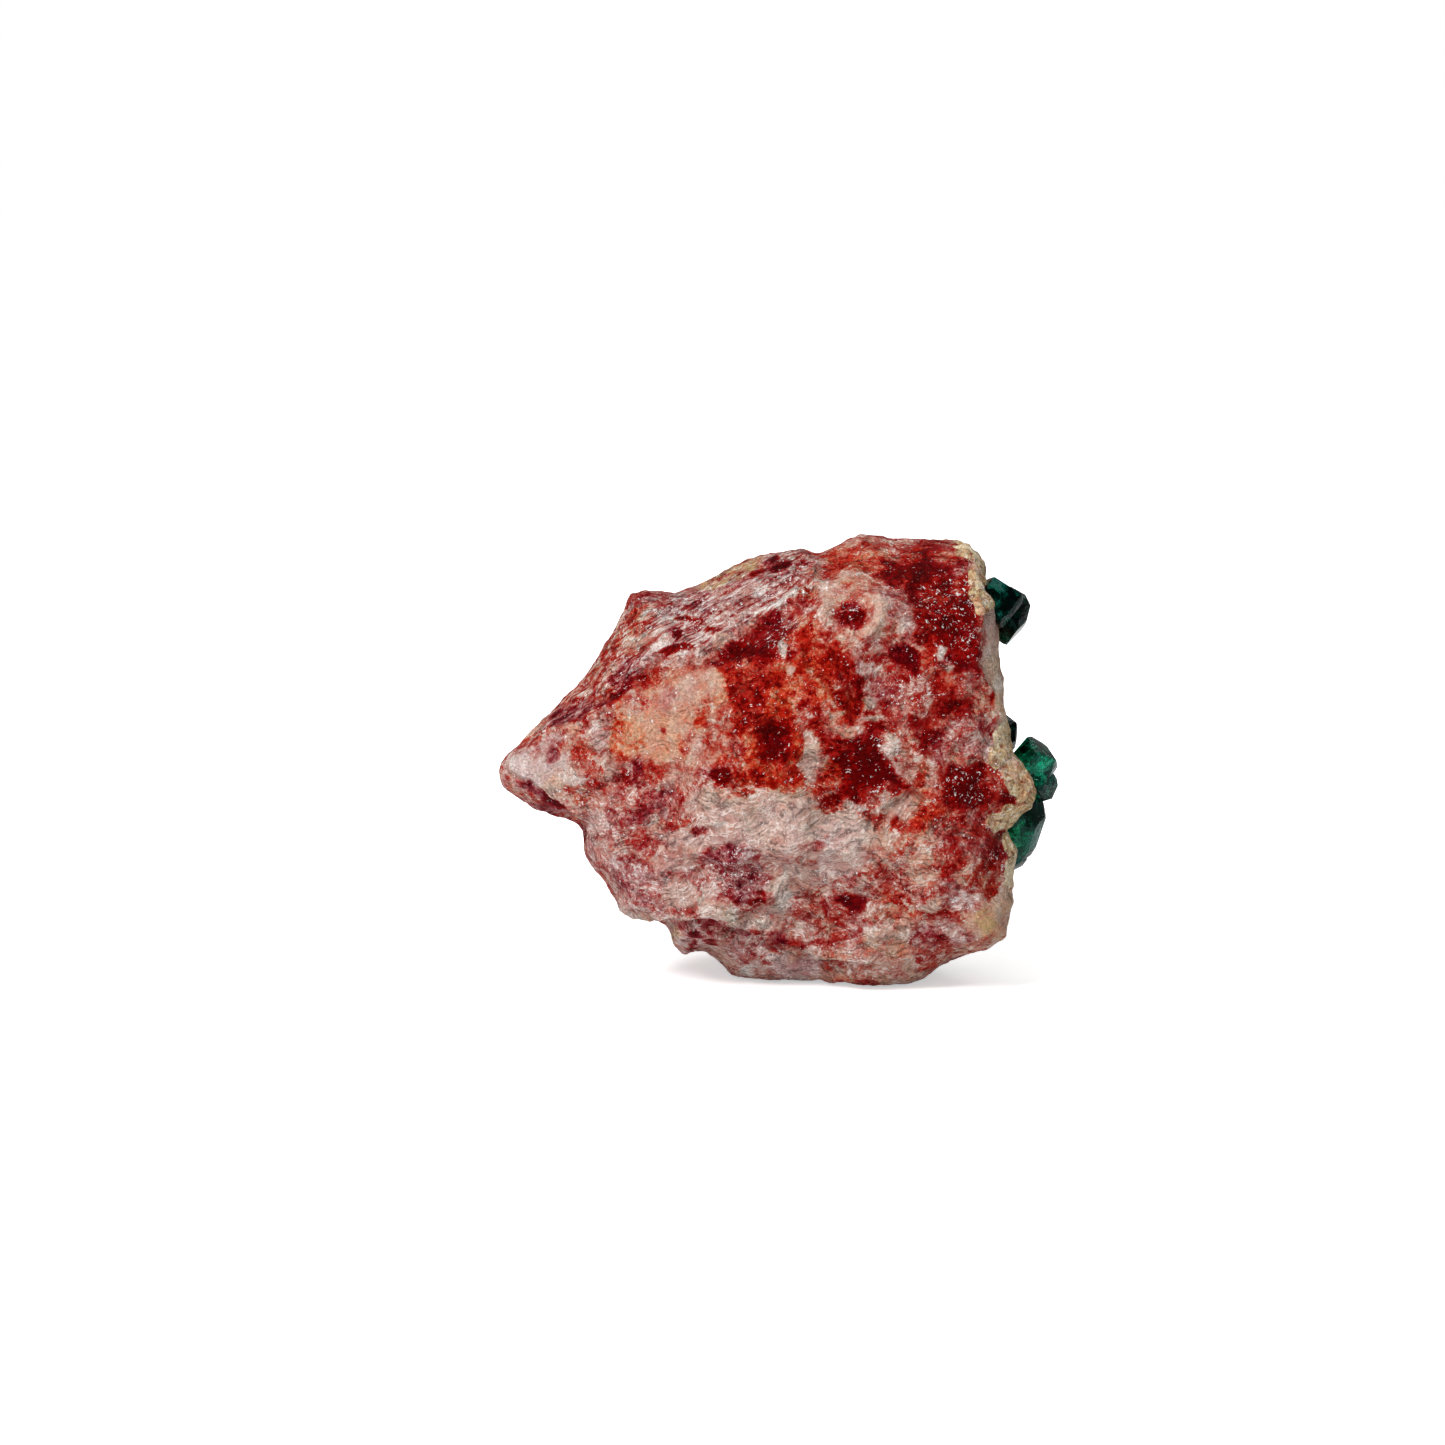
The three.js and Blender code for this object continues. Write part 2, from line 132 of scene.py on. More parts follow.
# Sizes of the relief's patterns.
CHIP_SIZE = 4.2
SWELL_SIZE = 3.0
JAG_SIZE = 1.9
PIT_SIZE = 1.1
CRUMB_SIZE = 1.5
CRUST_SWELL_SIZE = 2.6
GROOVE_SIZES = (7.0, 3.0, 1.3)  # along a groove, into the stone, and across the groove

# Tones of the calcite from pale to dark, for its cool, plain and warm parts.
TONES = (-0.2, 0.0, 0.25, 0.45, 0.65, 0.85, 1.05)
COOL = (
    (0.92, 0.85, 0.84), (0.66, 0.50, 0.49), (0.54, 0.30, 0.29), (0.41, 0.140, 0.138),
    (0.25, 0.024, 0.036), (0.135, 0.002, 0.008), (0.040, 0.001, 0.003),
)
PLAIN = (
    (0.94, 0.86, 0.80), (0.67, 0.51, 0.43), (0.58, 0.30, 0.24), (0.46, 0.120, 0.090),
    (0.37, 0.018, 0.014), (0.26, 0.001, 0.001), (0.12, 0.001, 0.001),
)
WARM = (
    (0.94, 0.84, 0.70), (0.69, 0.47, 0.32), (0.64, 0.26, 0.14), (0.58, 0.085, 0.032),
    (0.51, 0.016, 0.005), (0.29, 0.003, 0.001), (0.09, 0.001, 0.001),
)

# The crust from its dark hollows to its pale crumbs, the palest of them painted glints; the setting for
# its colour comes between the halves.
CRUST_HOLLOWS = ((0.36, (0.30, 0.07, 0.03)), (0.43, (0.56, 0.33, 0.17)))
CRUST_MIDDLE = 0.50
CRUST_CRUMBS_AND_GLINTS = ((0.57, (0.84, 0.66, 0.37)), (0.64, (0.98, 0.92, 0.74)))
ROSY_CRUST = (0.66, 0.30, 0.18, 1.0)
PALE_CRUST = (0.90, 0.80, 0.60, 1.0)
# Colour of the highlights painted along the fine wrinkles.
PAINTED_EDGE_HIGHLIGHTS = (1.0, 0.92, 0.87, 1.0)
PAINTED_GLINT_TICKS = (1.0, 0.94, 0.92, 1.0)
CALCITE_IOR = 1.5

# Sizes of the material's patterns.
RAGGED_SIZE = 1.6
RAGGED_REACH = 1.5
SWAY_SIZE = 4.5
WARMTH_SIZE = 2.6
MOTTLE_SIZE = 1.9
GRAIN_SIZE = 0.42
GRAINS_SIZE = 0.55
FINE_GRAINS_SIZE = 0.27
SPECKLE_SIZE = 0.3
CRUMB_COLOUR_SIZE = 0.9
CRUST_PATCH_SIZE = 5.0
WRINKLED_SIZE = 2.4
GLOSS_SIZE = 0.9

# Patterns stretched along the stone: how steeply they rise, in degrees, their size along, into and across
# the stone, and how far they sway.
STREAKS = (GROOVES_RISE_DEG, (4.5, 1.4, 0.32), 2.0)
WRINKLES = (-2.0, (4.5, 1.6, 1.1), 7.0)
FINE_WRINKLES = (24.0, (2.4, 1.2, 0.62), 5.0)

# Fine white ticks, painted glints, lie on winding lines, in patches: the least and the full strength of
# the patches, and how much more of them there are where the stone glitters.
GLINT_TICK_PATCHES = (0.625, 0.66)
GLINT_TICK_GLITTER = 0.058

# Marks on the broad face, as the camera sees them, the later ones over the earlier: across and up
# from the middle of the foot, half width and half height in millimetres, turn in degrees, tone, and
# warmth from -1 to 1.
MARKS = [
    # the bevel above the pointed end
    (-27.0, 35.0, 8.5, 3.0, 43, 0.36, 0.2), (-15.0, 42.0, 8.0, 4.0, 14, 0.28, -0.6),
    (-8.0, 45.0, 7.0, 3.5, 22, 0.30, -0.5), (-22.5, 39.8, 4.5, 2.2, 48, 0.40, 0.4),
    (-22.0, 44.7, 1.8, 0.8, 15, 0.62, -0.1), (-20.0, 39.3, 3.0, 0.9, 10, 0.12, 0.0),
    (-18.3, 40.2, 1.3, 0.6, -10, 0.03, -0.1), (-17.6, 42.2, 1.2, 0.9, 0, 0.10, -0.4),
    (-21.0, 36.7, 3.4, 1.3, 25, 0.36, -0.6), (-16.0, 37.2, 3.0, 0.8, 5, 0.24, -0.1),
    (-14.5, 44.0, 3.0, 1.0, 5, 0.30, -0.7), (-10.0, 42.5, 3.0, 0.8, 20, 0.22, -0.4),
    (-15.3, 42.1, 1.1, 0.36, -8, 0.97, 0.0), (-14.0, 41.6, 0.9, 0.2, -5, 0.85, 0.0),
    (-12.3, 41.05, 1.1, 0.32, 10, 0.97, 0.0), (-16.6, 38.8, 1.5, 0.42, 10, 0.95, 0.0),
    (-17.7, 36.1, 0.8, 0.32, 5, 0.95, 0.0), (-17.4, 44.2, 0.5, 0.25, 0, 0.9, -0.2),
    (-16.3, 40.5, 0.45, 0.6, -20, 0.85, -0.2), (-23.0, 35.2, 1.6, 0.8, 20, 0.60, -0.8),
    (-23.9, 33.5, 1.4, 0.75, 15, 0.78, -0.2), (-22.5, 34.3, 1.2, 0.7, 20, 0.90, -0.4),
    (-20.4, 34.8, 1.0, 0.6, -20, 0.90, -0.4), (-29.2, 31.4, 2.8, 0.9, 27, 0.46, -0.7),
    (-27.5, 30.8, 0.9, 0.7, 0, 0.74, -0.2), (-26.3, 32.3, 1.4, 0.6, 15, 0.62, -0.5),
    (-5.5, 46.6, 3.0, 2.6, 30, 0.32, -0.5), (-2.2, 46.8, 1.4, 2.1, -30, 0.42, -0.1),
    (-1.5, 47.2, 0.5, 0.5, 0, 0.60, 0.6), (-4.7, 48.7, 1.4, 0.5, 15, 0.88, -0.4),
    (-8.0, 48.0, 0.6, 0.5, 0, 0.72, 0.1), (-6.8, 48.3, 0.6, 0.5, 0, 0.50, 0.3),
    (-1.3, 49.7, 1.8, 0.5, -15, 0.36, -0.4), (-5.2, 43.1, 3.4, 0.55, 34, -0.08, -0.2),
    # the pointed end
    (-28.5, 28.5, 2.7, 2.2, 0, 0.31, 0.2), (-25.6, 28.5, 1.5, 2.2, 0, 0.24, -0.3),
    (-27.0, 26.0, 1.3, 1.2, 0, 0.48, 0.3), (-33.5, 24.6, 3.0, 2.6, -25, -0.08, -0.6),
    (-31.5, 27.5, 2.0, 1.0, 20, 0.26, -0.5), (-35.2, 26.9, 2.0, 0.7, 42, 0.30, -0.3),
    (-31.0, 26.4, 0.5, 0.4, 20, 0.66, -1.0), (-30.9, 26.0, 0.8, 0.5, 0, 0.24, -0.9),
    (-29.6, 25.2, 1.2, 1.0, 0, 0.08, -0.5), (-28.3, 23.3, 1.4, 0.9, 0, 0.00, -0.3),
    # the marks at (-31.0, 22.5) and (-33.3, 21.8) are made paler as painted light, against the shade under
    # the ledge
    (-31.0, 22.5, 1.6, 1.1, 0, 0.02, 0.3), (-30.2, 21.1, 1.0, 0.8, 0, 0.14, 0.2),
    (-27.8, 21.8, 1.7, 1.3, 0, 0.38, 0.3), (-36.5, 24.0, 0.5, 1.6, 0, 0.24, -0.4),
    (-33.3, 21.8, 2.2, 0.6, -36, 0.34, -0.7), (-31.2, 20.3, 1.3, 0.7, -36, 0.74, -0.4),
    (-30.0, 19.2, 1.0, 0.6, 0, 0.84, 0.0), (-31.8, 19.3, 1.4, 0.5, -28, 0.50, -0.4),
    (-28.6, 18.9, 1.0, 0.7, 0, 0.26, 0.8), (-24.5, 25.0, 1.2, 1.5, 0, 0.16, 0.0),
    (-26.0, 23.7, 1.5, 0.8, 0, 0.38, 0.2),
    # the beige patch
    (-17.3, 29.5, 6.2, 6.2, 0, 0.13, 0.75), (-13.6, 34.4, 3.6, 2.6, 0, 0.15, 0.5),
    (-23.2, 29.5, 1.2, 3.6, 0, 0.34, 1.0), (-22.2, 27.2, 2.0, 1.5, 0, 0.26, 1.0),
    (-13.8, 28.0, 2.4, 3.0, 0, 0.22, 0.2), (-18.3, 29.6, 0.5, 0.4, 0, 0.46, 0.0),
    (-15.8, 27.0, 0.7, 0.5, 0, 0.40, 0.2), (-12.3, 30.5, 1.8, 3.0, 0, 0.36, 0.4),
    (-14.0, 29.7, 0.8, 1.0, 0, 0.44, 0.7), (-17.0, 24.2, 3.0, 1.6, 0, 0.24, 0.2),
    (-13.6, 24.2, 1.5, 1.0, 0, 0.36, -0.3), (-11.3, 39.4, 1.1, 0.8, 0, 0.12, 0.3),
    (-18.5, 33.0, 1.5, 1.8, 0, 0.20, 0.1), (-21.6, 32.2, 1.5, 1.3, 0, 0.34, 0.2),
    # the rusty field and its red pools
    (-4.5, 35.0, 5.4, 4.6, 10, 0.55, 0.8), (-6.2, 30.5, 4.0, 3.5, 0, 0.56, 0.8),
    (-2.0, 40.8, 2.6, 1.8, 0, 0.60, 0.7), (0.8, 38.6, 2.6, 2.8, 30, 0.62, 0.7),
    (-1.5, 36.6, 2.2, 1.7, 0, 0.54, 0.9), (0.5, 33.5, 3.0, 2.4, 0, 0.56, 0.8),
    (1.6, 31.3, 1.8, 1.3, 0, 0.38, 0.3), (-3.7, 32.6, 1.2, 0.9, 0, 0.36, 1.0),
    (-5.6, 31.6, 1.3, 1.3, 0, 0.44, 0.9), (-6.6, 36.5, 1.5, 1.3, 0, 0.50, 0.5),
    (-10.5, 37.0, 1.4, 0.9, 0, 0.70, 0.5), (-9.4, 34.3, 1.2, 2.2, 0, 0.68, 0.6),
    (-9.5, 38.3, 2.2, 0.7, 12, 0.86, 0.0), (-12.2, 37.5, 1.3, 0.4, -15, 0.84, -0.2),
    (-9.0, 31.0, 1.3, 2.2, 0, 0.66, 0.7), (-6.4, 39.1, 2.2, 2.1, 0, 0.90, -0.1),
    (-4.7, 41.8, 2.5, 1.2, 12, 0.82, -0.2), (-4.2, 38.4, 1.5, 1.2, 0, 0.80, 0.0),
    (-3.0, 43.0, 1.8, 0.8, 40, 0.48, -0.2), (-2.2, 41.8, 0.8, 0.9, 0, 0.36, 0.7),
    (-4.1, 38.6, 0.45, 1.2, 0, -0.10, -0.3), (-3.7, 36.0, 0.5, 0.6, 0, 0.02, -0.2),
    (0.4, 40.6, 0.7, 0.9, 0, 0.62, 0.6), (-7.0, 34.6, 1.1, 1.0, 0, 0.74, 0.3),
    (-2.3, 32.2, 0.8, 0.5, 0, 0.70, 0.4), (-7.6, 32.2, 1.3, 1.8, 0, 0.78, 0.3),
    (-5.0, 34.9, 0.8, 0.6, 0, 0.72, 0.4), (-0.5, 30.9, 0.9, 0.7, 0, 0.56, 0.5),
    (-5.2, 27.4, 2.9, 2.9, 0, 0.68, 0.7), (-5.3, 27.6, 1.9, 2.2, 0, 0.88, 0.2),
    (-5.2, 28.0, 1.1, 1.1, 0, 0.94, 0.0), (-7.6, 26.0, 1.0, 3.0, 0, 0.54, 1.0),
    (-2.9, 26.3, 0.9, 3.2, 0, 0.48, 1.0), (-6.3, 23.6, 3.2, 1.5, 0, 0.58, 0.9),
    (-9.2, 24.7, 1.5, 1.4, 0, 0.62, 0.6), (-2.5, 24.0, 1.3, 1.4, 0, 0.60, 0.9),
    (-7.3, 24.0, 0.7, 0.5, 0, 0.76, 0.2), (-7.0, 21.9, 1.4, 0.6, 0, 0.58, 0.8),
    (-11.8, 24.1, 1.0, 0.8, 0, 0.94, 0.2), (-11.8, 25.8, 1.0, 0.5, 0, 0.50, 0.5),
    (-1.0, 26.4, 0.95, 3.1, -5, 0.07, 0.1), (1.4, 24.2, 1.3, 1.3, 0, 0.42, 0.8),
    (0.3, 23.2, 1.1, 0.9, 0, 0.48, 0.8), (0.0, 29.4, 1.3, 1.2, 0, 0.68, 0.3),
    # the pale ring and what is round it
    (4.5, 49.6, 5.0, 1.6, 0, 0.44, 0.5), (3.0, 48.4, 3.0, 0.9, 0, 0.50, 0.7),
    (4.5, 51.5, 2.5, 0.6, 0, 0.28, 0.3), (9.5, 51.5, 4.0, 0.6, 0, 0.32, 0.1),
    (6.5, 47.5, 1.4, 1.4, 0, 0.50, 0.5), (4.0, 43.0, 4.6, 3.8, 0, 0.29, 0.2),
    (8.4, 43.3, 2.2, 2.4, 0, 0.26, -0.3), (0.7, 44.2, 1.1, 2.0, 0, 0.14, 0.1),
    (3.3, 46.6, 3.0, 1.0, 0, 0.24, 0.4), (7.2, 43.0, 0.9, 1.9, 0, 0.12, 0.5),
    (5.6, 40.4, 2.2, 1.0, -10, 0.16, 0.3), (10.3, 42.4, 1.1, 1.5, 0, 0.22, -0.5),
    (3.4, 42.4, 1.7, 2.0, 0, 0.64, -0.6), (2.7, 42.5, 0.7, 1.4, 0, 0.80, -0.3),
    (4.4, 42.1, 0.8, 1.3, 0, 0.84, -0.2), (2.8, 43.2, 0.4, 0.3, 0, 0.08, -0.5),
    (8.6, 45.0, 1.6, 0.7, 20, 0.40, -0.3), (6.2, 38.0, 2.4, 1.8, 0, 0.34, -0.2),
    (2.7, 39.6, 1.6, 0.9, -20, 0.26, 0.5),
    # the dark red field at the upper right
    (14.4, 43.5, 3.6, 5.2, 0, 0.88, 0.0), (16.2, 40.5, 2.5, 5.6, 8, 0.88, 0.0),
    (12.0, 48.4, 2.2, 2.2, 15, 0.94, 0.0), (12.6, 46.2, 2.8, 1.2, 0, 0.96, 0.0),
    (8.5, 48.0, 1.4, 1.6, 0, 0.97, -0.1), (8.2, 46.5, 0.9, 0.8, 0, 0.84, 0.0),
    (10.4, 49.4, 1.2, 0.7, 0, 0.66, 0.5), (14.2, 49.6, 1.6, 1.0, 0, 0.54, 0.4),
    (13.0, 50.7, 1.3, 0.5, 0, 0.68, -0.1), (11.4, 45.2, 1.4, 0.7, 0, 0.92, -0.2),
    (12.2, 41.2, 1.3, 2.0, 0, 0.74, 0.1), (16.4, 37.2, 1.6, 2.2, 0, 0.86, -0.1),
    (13.4, 44.6, 1.5, 0.8, 0, 0.60, 0.5), (15.9, 47.9, 1.1, 1.7, -20, 0.50, -0.2),
    (16.4, 45.9, 1.3, 1.4, 0, 0.76, 0.4), (12.3, 48.3, 0.9, 1.1, 0, 0.99, -0.1),
    (9.8, 37.0, 1.6, 1.9, 0, 1.00, -0.2), (7.3, 37.0, 1.1, 0.6, 0, 0.58, -0.2),
    (8.9, 38.0, 0.9, 0.8, 0, 0.72, -0.2), (11.6, 39.4, 0.7, 0.7, 0, 0.52, -0.2),
    (12.6, 37.4, 1.6, 1.3, 30, 0.56, 0.5), (14.2, 37.8, 0.6, 0.9, -30, -0.06, 0.0),
    (13.3, 36.0, 1.5, 0.8, 0, 0.26, 0.4), (14.9, 36.3, 0.9, 0.8, 0, 0.46, -0.3),
    (14.6, 34.4, 2.3, 1.5, 0, 0.66, 0.4), (16.6, 35.3, 1.5, 1.1, 0, 0.78, 0.0),
    (17.2, 33.6, 2.2, 2.4, 0, 0.48, 0.0),
    (14.0, 32.2, 1.6, 1.2, 0, 0.60, 0.4), (15.6, 31.2, 2.0, 1.2, 0, 0.72, 0.0),
    (18.7, 31.3, 1.5, 1.6, 0, 0.36, 0.3), (20.0, 32.9, 0.5, 0.4, 0, 0.72, 0.0),
    (20.4, 41.6, 1.3, 1.8, 0, 0.04, -0.2), (20.6, 38.6, 1.5, 1.8, 0, 0.00, 0.0),
    (21.0, 35.6, 1.6, 2.4, 0, -0.10, 0.6), (21.2, 31.6, 1.0, 2.2, 0, -0.02, 0.7),
    (19.8, 6.8, 3.0, 2.6, 10, 0.12, 0.50), (21.4, 10.0, 1.4, 2.2, 0, 0.06, 0.8),
    # the middle: a bright red band, pale slivers and a deep red pool
    (2.6, 36.4, 1.2, 1.7, -10, 0.66, 0.5), (3.6, 34.0, 1.3, 1.9, -22, 0.68, 0.5),
    (4.1, 31.7, 1.2, 1.8, 0, 0.66, 0.5), (4.9, 33.6, 0.6, 1.6, 0, 0.82, 0.0),
    (2.1, 34.4, 0.7, 0.5, 0, 0.24, 0.1), (5.3, 35.6, 0.9, 2.2, 35, 0.24, -0.6),
    (6.9, 33.6, 1.6, 1.5, 0, 0.50, -0.4), (6.1, 31.5, 0.6, 1.3, -10, 0.04, 0.0),
    (6.2, 30.9, 0.6, 0.35, 0, 0.80, 0.0), (8.1, 31.4, 1.5, 1.1, 0, 0.70, -0.1),
    (9.8, 33.6, 2.4, 1.4, 0, 0.42, -0.3), (9.0, 35.4, 1.6, 1.1, 0, 0.70, -0.1),
    (11.5, 32.6, 1.5, 1.8, 0, 0.36, 0.0),
    (11.6, 29.0, 1.3, 1.0, 0, 0.80, 0.0), (13.1, 28.0, 1.0, 1.3, 0, 0.76, -0.1),
    (12.5, 26.7, 1.2, 0.8, 0, 0.66, 0.1), (10.3, 27.5, 1.4, 1.6, 0, 0.38, 0.5),
    (16.2, 28.4, 3.6, 1.7, 25, 0.42, -0.4), (14.6, 26.8, 1.1, 2.0, -35, 0.42, -0.3),
    (19.2, 27.8, 1.8, 1.5, 0, 0.28, -0.3), (4.8, 25.0, 3.3, 3.5, 0, 0.86, 0.0),
    (2.0, 27.4, 1.9, 1.3, -20, 0.80, 0.1), (1.0, 29.0, 0.8, 0.8, 0, 0.80, 0.0),
    (6.9, 27.0, 1.1, 1.3, 0, 0.84, 0.0), (7.9, 24.0, 1.4, 1.0, 0, 0.90, 0.0),
    (3.4, 22.6, 1.3, 1.2, 0, 0.84, 0.1), (9.2, 22.8, 1.0, 0.6, 30, 0.68, 0.1),
    (1.5, 23.6, 1.1, 1.1, 0, 0.50, 0.8), (5.2, 24.6, 1.5, 1.6, 0, 1.00, -0.1),
    (3.0, 29.0, 1.9, 0.8, -12, 0.22, 0.5),
    (9.3, 29.6, 1.7, 1.2, 0, 0.56, 0.1), (8.3, 28.3, 1.2, 0.6, -25, 0.02, 0.1),
    (7.9, 26.7, 0.9, 1.3, 0, 0.06, 0.0),
    (8.7, 25.0, 1.2, 0.6, -20, 0.10, 0.2), (9.9, 24.3, 1.0, 0.8, 0, 0.16, 0.3),
    (6.5, 29.3, 0.9, 0.8, 0, 0.72, 0.0), (1.5, 20.6, 1.4, 1.1, 0, 0.80, 0.2),
    # the red pool and the rust at the right
    (17.2, 22.5, 3.8, 2.7, 0, 0.90, 0.0), (14.9, 22.0, 1.5, 2.0, 0, 0.78, 0.1),
    (18.0, 24.4, 1.9, 1.0, 0, 0.86, 0.0), (21.5, 21.6, 2.0, 1.3, 10, 0.82, 0.0),
    (20.2, 23.6, 1.4, 1.3, 0, 0.58, 0.3), (17.1, 23.5, 1.2, 1.0, 0, 0.96, 0.0),
    (12.2, 22.3, 2.2, 1.8, 0, 0.34, 0.3), (12.8, 23.6, 1.0, 1.0, 0, 0.20, -0.1),
    (11.4, 24.5, 0.6, 1.5, -15, 0.56, 0.6), (10.2, 21.0, 1.6, 0.8, 0, 0.20, 0.2),
    (12.6, 18.5, 3.2, 1.3, 10, 0.60, 0.7), (16.2, 17.6, 3.2, 1.9, 0, 0.58, 0.0),
    (18.6, 19.2, 2.0, 1.0, 0, 0.44, -0.2), (14.5, 16.0, 2.0, 1.3, 0, 0.68, -0.1),
    (20.5, 15.4, 2.0, 1.4, 0, 0.72, -0.2), (17.6, 15.5, 1.5, 0.9, 0, 0.42, -0.4),
    (15.0, 13.6, 2.0, 1.4, 0, 0.58, 0.1), (19.5, 13.0, 2.0, 1.1, 0, 0.56, 0.3),
    (17.4, 12.0, 1.6, 1.0, 0, 0.40, 0.4), (20.0, 11.2, 1.4, 0.9, 0, 0.50, 0.6),
    (11.6, 16.4, 2.2, 1.3, 0, 0.34, 0.5), (12.0, 13.0, 1.7, 2.2, 0, 0.22, 0.3),
    # the band of beige below the middle
    (-9.5, 18.5, 7.0, 3.0, -8, 0.11, 0.1), (-2.0, 17.0, 6.0, 3.6, -6, 0.10, 0.1),
    (3.4, 16.2, 3.6, 3.4, 0, 0.12, 0.1), (-13.4, 20.2, 2.0, 2.2, 0, 0.16, 0.1),
    (-4.0, 21.2, 3.4, 1.0, -5, 0.15, 0.1), (-15.0, 16.8, 3.2, 1.4, 0, 0.17, 0.0),
    (6.6, 14.6, 2.2, 1.2, 0, 0.22, 0.2), (1.6, 13.3, 2.6, 1.6, 0, 0.10, -0.1),
    (9.4, 19.8, 1.9, 1.3, 32, 0.12, 0.1), (7.1, 20.4, 0.8, 1.4, -30, 0.10, 0.1),
    (7.6, 17.5, 1.4, 1.1, 0, 0.17, 0.2), (8.8, 18.7, 0.6, 0.6, 0, 0.50, 0.4),
    (5.8, 20.8, 1.4, 0.9, 0, 0.64, 0.0), (3.8, 20.7, 1.2, 0.5, 0, 0.08, 0.0),
    (-0.8, 15.8, 2.4, 0.6, 12, 0.30, -0.1), (-2.0, 14.0, 1.6, 0.8, 0, 0.38, 0.0),
    (-14.0, 17.6, 0.5, 0.5, 0, 0.62, -0.4), (-2.0, 12.2, 1.6, 1.3, 0, 0.14, 0.1),
    # below the pointed end
    (-23.0, 25.8, 0.9, 0.6, 0, 0.50, 0.6), (-21.4, 24.8, 1.4, 0.9, 0, 0.50, -0.3),
    (-20.9, 24.3, 0.9, 0.9, 0, 0.76, -0.5), (-22.8, 23.0, 1.4, 0.9, 0, 0.50, -0.1),
    (-22.7, 22.0, 0.8, 0.7, 0, 0.50, 0.2), (-19.3, 24.3, 1.0, 1.0, 0, 0.42, 0.4),
    (-20.5, 21.9, 3.4, 0.8, 0, 0.30, -0.1), (-18.6, 20.3, 2.4, 1.2, 0, 0.42, -0.5),
    (-18.3, 21.1, 1.7, 0.8, -10, 0.60, -0.6), (-16.4, 21.4, 0.8, 0.7, 0, 0.64, -0.3),
    (-16.2, 18.9, 1.8, 0.9, 0, 0.50, 0.2), (-16.9, 20.3, 1.5, 1.0, 0, 0.60, -0.2),
    (-22.5, 17.0, 3.2, 2.3, 0, 0.41, 0.1),
    (-22.2, 19.0, 2.6, 1.0, 0, 0.42, -0.4), (-24.2, 19.0, 0.8, 0.8, 0, 0.52, -0.4),
    (-24.2, 17.1, 1.4, 1.4, 0, 0.46, -0.3),
    (-20.4, 15.8, 1.8, 0.8, 0, 0.44, 0.0), (-26.2, 18.4, 1.2, 1.7, 30, 0.20, -0.2),
    (-27.2, 16.8, 0.6, 1.6, 20, 0.26, -0.3), (-25.6, 15.0, 1.1, 1.8, 35, 0.27, -0.2),
    (-23.3, 12.9, 1.4, 0.7, -25, 0.34, -1.0), (-23.4, 13.9, 1.2, 0.35, -10, -0.02, -0.3),
    (-20.8, 11.3, 4.2, 2.8, -35, 0.35, -0.4), (-20.8, 9.9, 1.1, 0.7, 0, 0.55, -0.4),
    (-22.7, 10.8, 1.0, 0.6, 0, 0.46, -0.3), (-19.3, 9.2, 0.6, 0.5, 0, 0.52, 0.3),
    (-16.6, 14.1, 3.0, 1.2, 0, 0.19, 0.1), (-16.0, 10.6, 2.2, 2.0, 0, 0.16, 0.2),
    (-17.8, 7.6, 4.6, 0.7, -8, 0.26, 0.2), (-12.2, 8.9, 2.2, 1.5, 0, 0.21, 0.5),
    (-9.5, 8.0, 1.6, 1.6, 0, 0.22, 0.4), (-8.6, 12.9, 3.6, 2.2, -20, 0.44, -0.5),
    (-11.5, 14.2, 2.1, 1.3, 10, 0.62, -0.7), (-8.6, 10.0, 1.6, 1.9, 0, 0.50, -0.5),
    (-7.2, 8.8, 0.7, 0.5, 0, 0.95, 0.0), (-6.8, 10.3, 0.5, 0.4, 0, 0.95, 0.0),
    (-14.8, 12.6, 1.3, 1.0, 0, 0.24, -0.2), (-12.4, 11.2, 0.8, 0.8, 0, 0.18, -0.1),
    (-5.8, 13.4, 1.6, 0.9, 0, 0.22, 0.2), (-5.4, 11.5, 1.1, 1.0, 0, 0.06, 0.3),
    (-4.2, 10.4, 1.3, 2.7, -5, -0.06, 0.1),
    # the foot
    (-15.4, 4.8, 2.4, 1.9, 0, 0.34, -0.3), (-17.2, 5.3, 0.5, 1.3, 0, 0.22, 0.8),
    (-14.7, 5.2, 0.8, 0.5, 0, 0.94, -0.4), (-13.0, 4.4, 0.9, 0.5, 0, 0.94, 0.0),
    (-14.9, 3.8, 0.4, 0.8, 0, 0.88, 0.0), (-12.6, 6.4, 2.8, 0.6, -8, 0.42, -0.3),
    (-8.8, 4.0, 2.8, 1.2, -20, 0.44, -0.3), (-6.8, 2.8, 2.2, 0.8, 0, 0.42, 0.0),
    (-5.4, 5.6, 3.0, 0.7, -10, 0.70, -0.2), (-4.0, 5.1, 2.6, 0.6, -6, 0.88, -0.1),
    (-2.5, 4.8, 1.5, 0.6, -20, 0.80, 0.2), (-4.8, 2.6, 1.6, 0.9, 0, 0.15, -0.6),
    (-8.3, 1.0, 1.5, 0.4, 0, 0.00, -0.2), (-6.0, 1.6, 1.5, 0.7, 0, 0.42, 0.1),
    (-2.8, 1.4, 2.8, 1.2, 0, 0.27, -0.7), (-6.0, -0.1, 2.0, 0.3, 0, 0.16, 0.8),
    (-11.2, 2.6, 1.4, 0.6, -30, 0.26, 0.6), (0.0, 10.5, 2.6, 0.8, 0, 0.28, 0.3),
    (-1.0, 8.5, 2.6, 1.5, 0, 0.50, 0.2), (2.4, 8.2, 2.6, 1.6, 0, 0.54, 0.2),
    (3.8, 9.2, 1.4, 0.6, 0, 0.90, 0.1), (1.6, 6.8, 2.2, 0.9, 0, 0.54, 0.3),
    (4.2, 7.0, 1.5, 1.0, 0, 0.50, 0.0), (0.5, 5.0, 1.1, 0.4, 0, 0.76, 0.3),
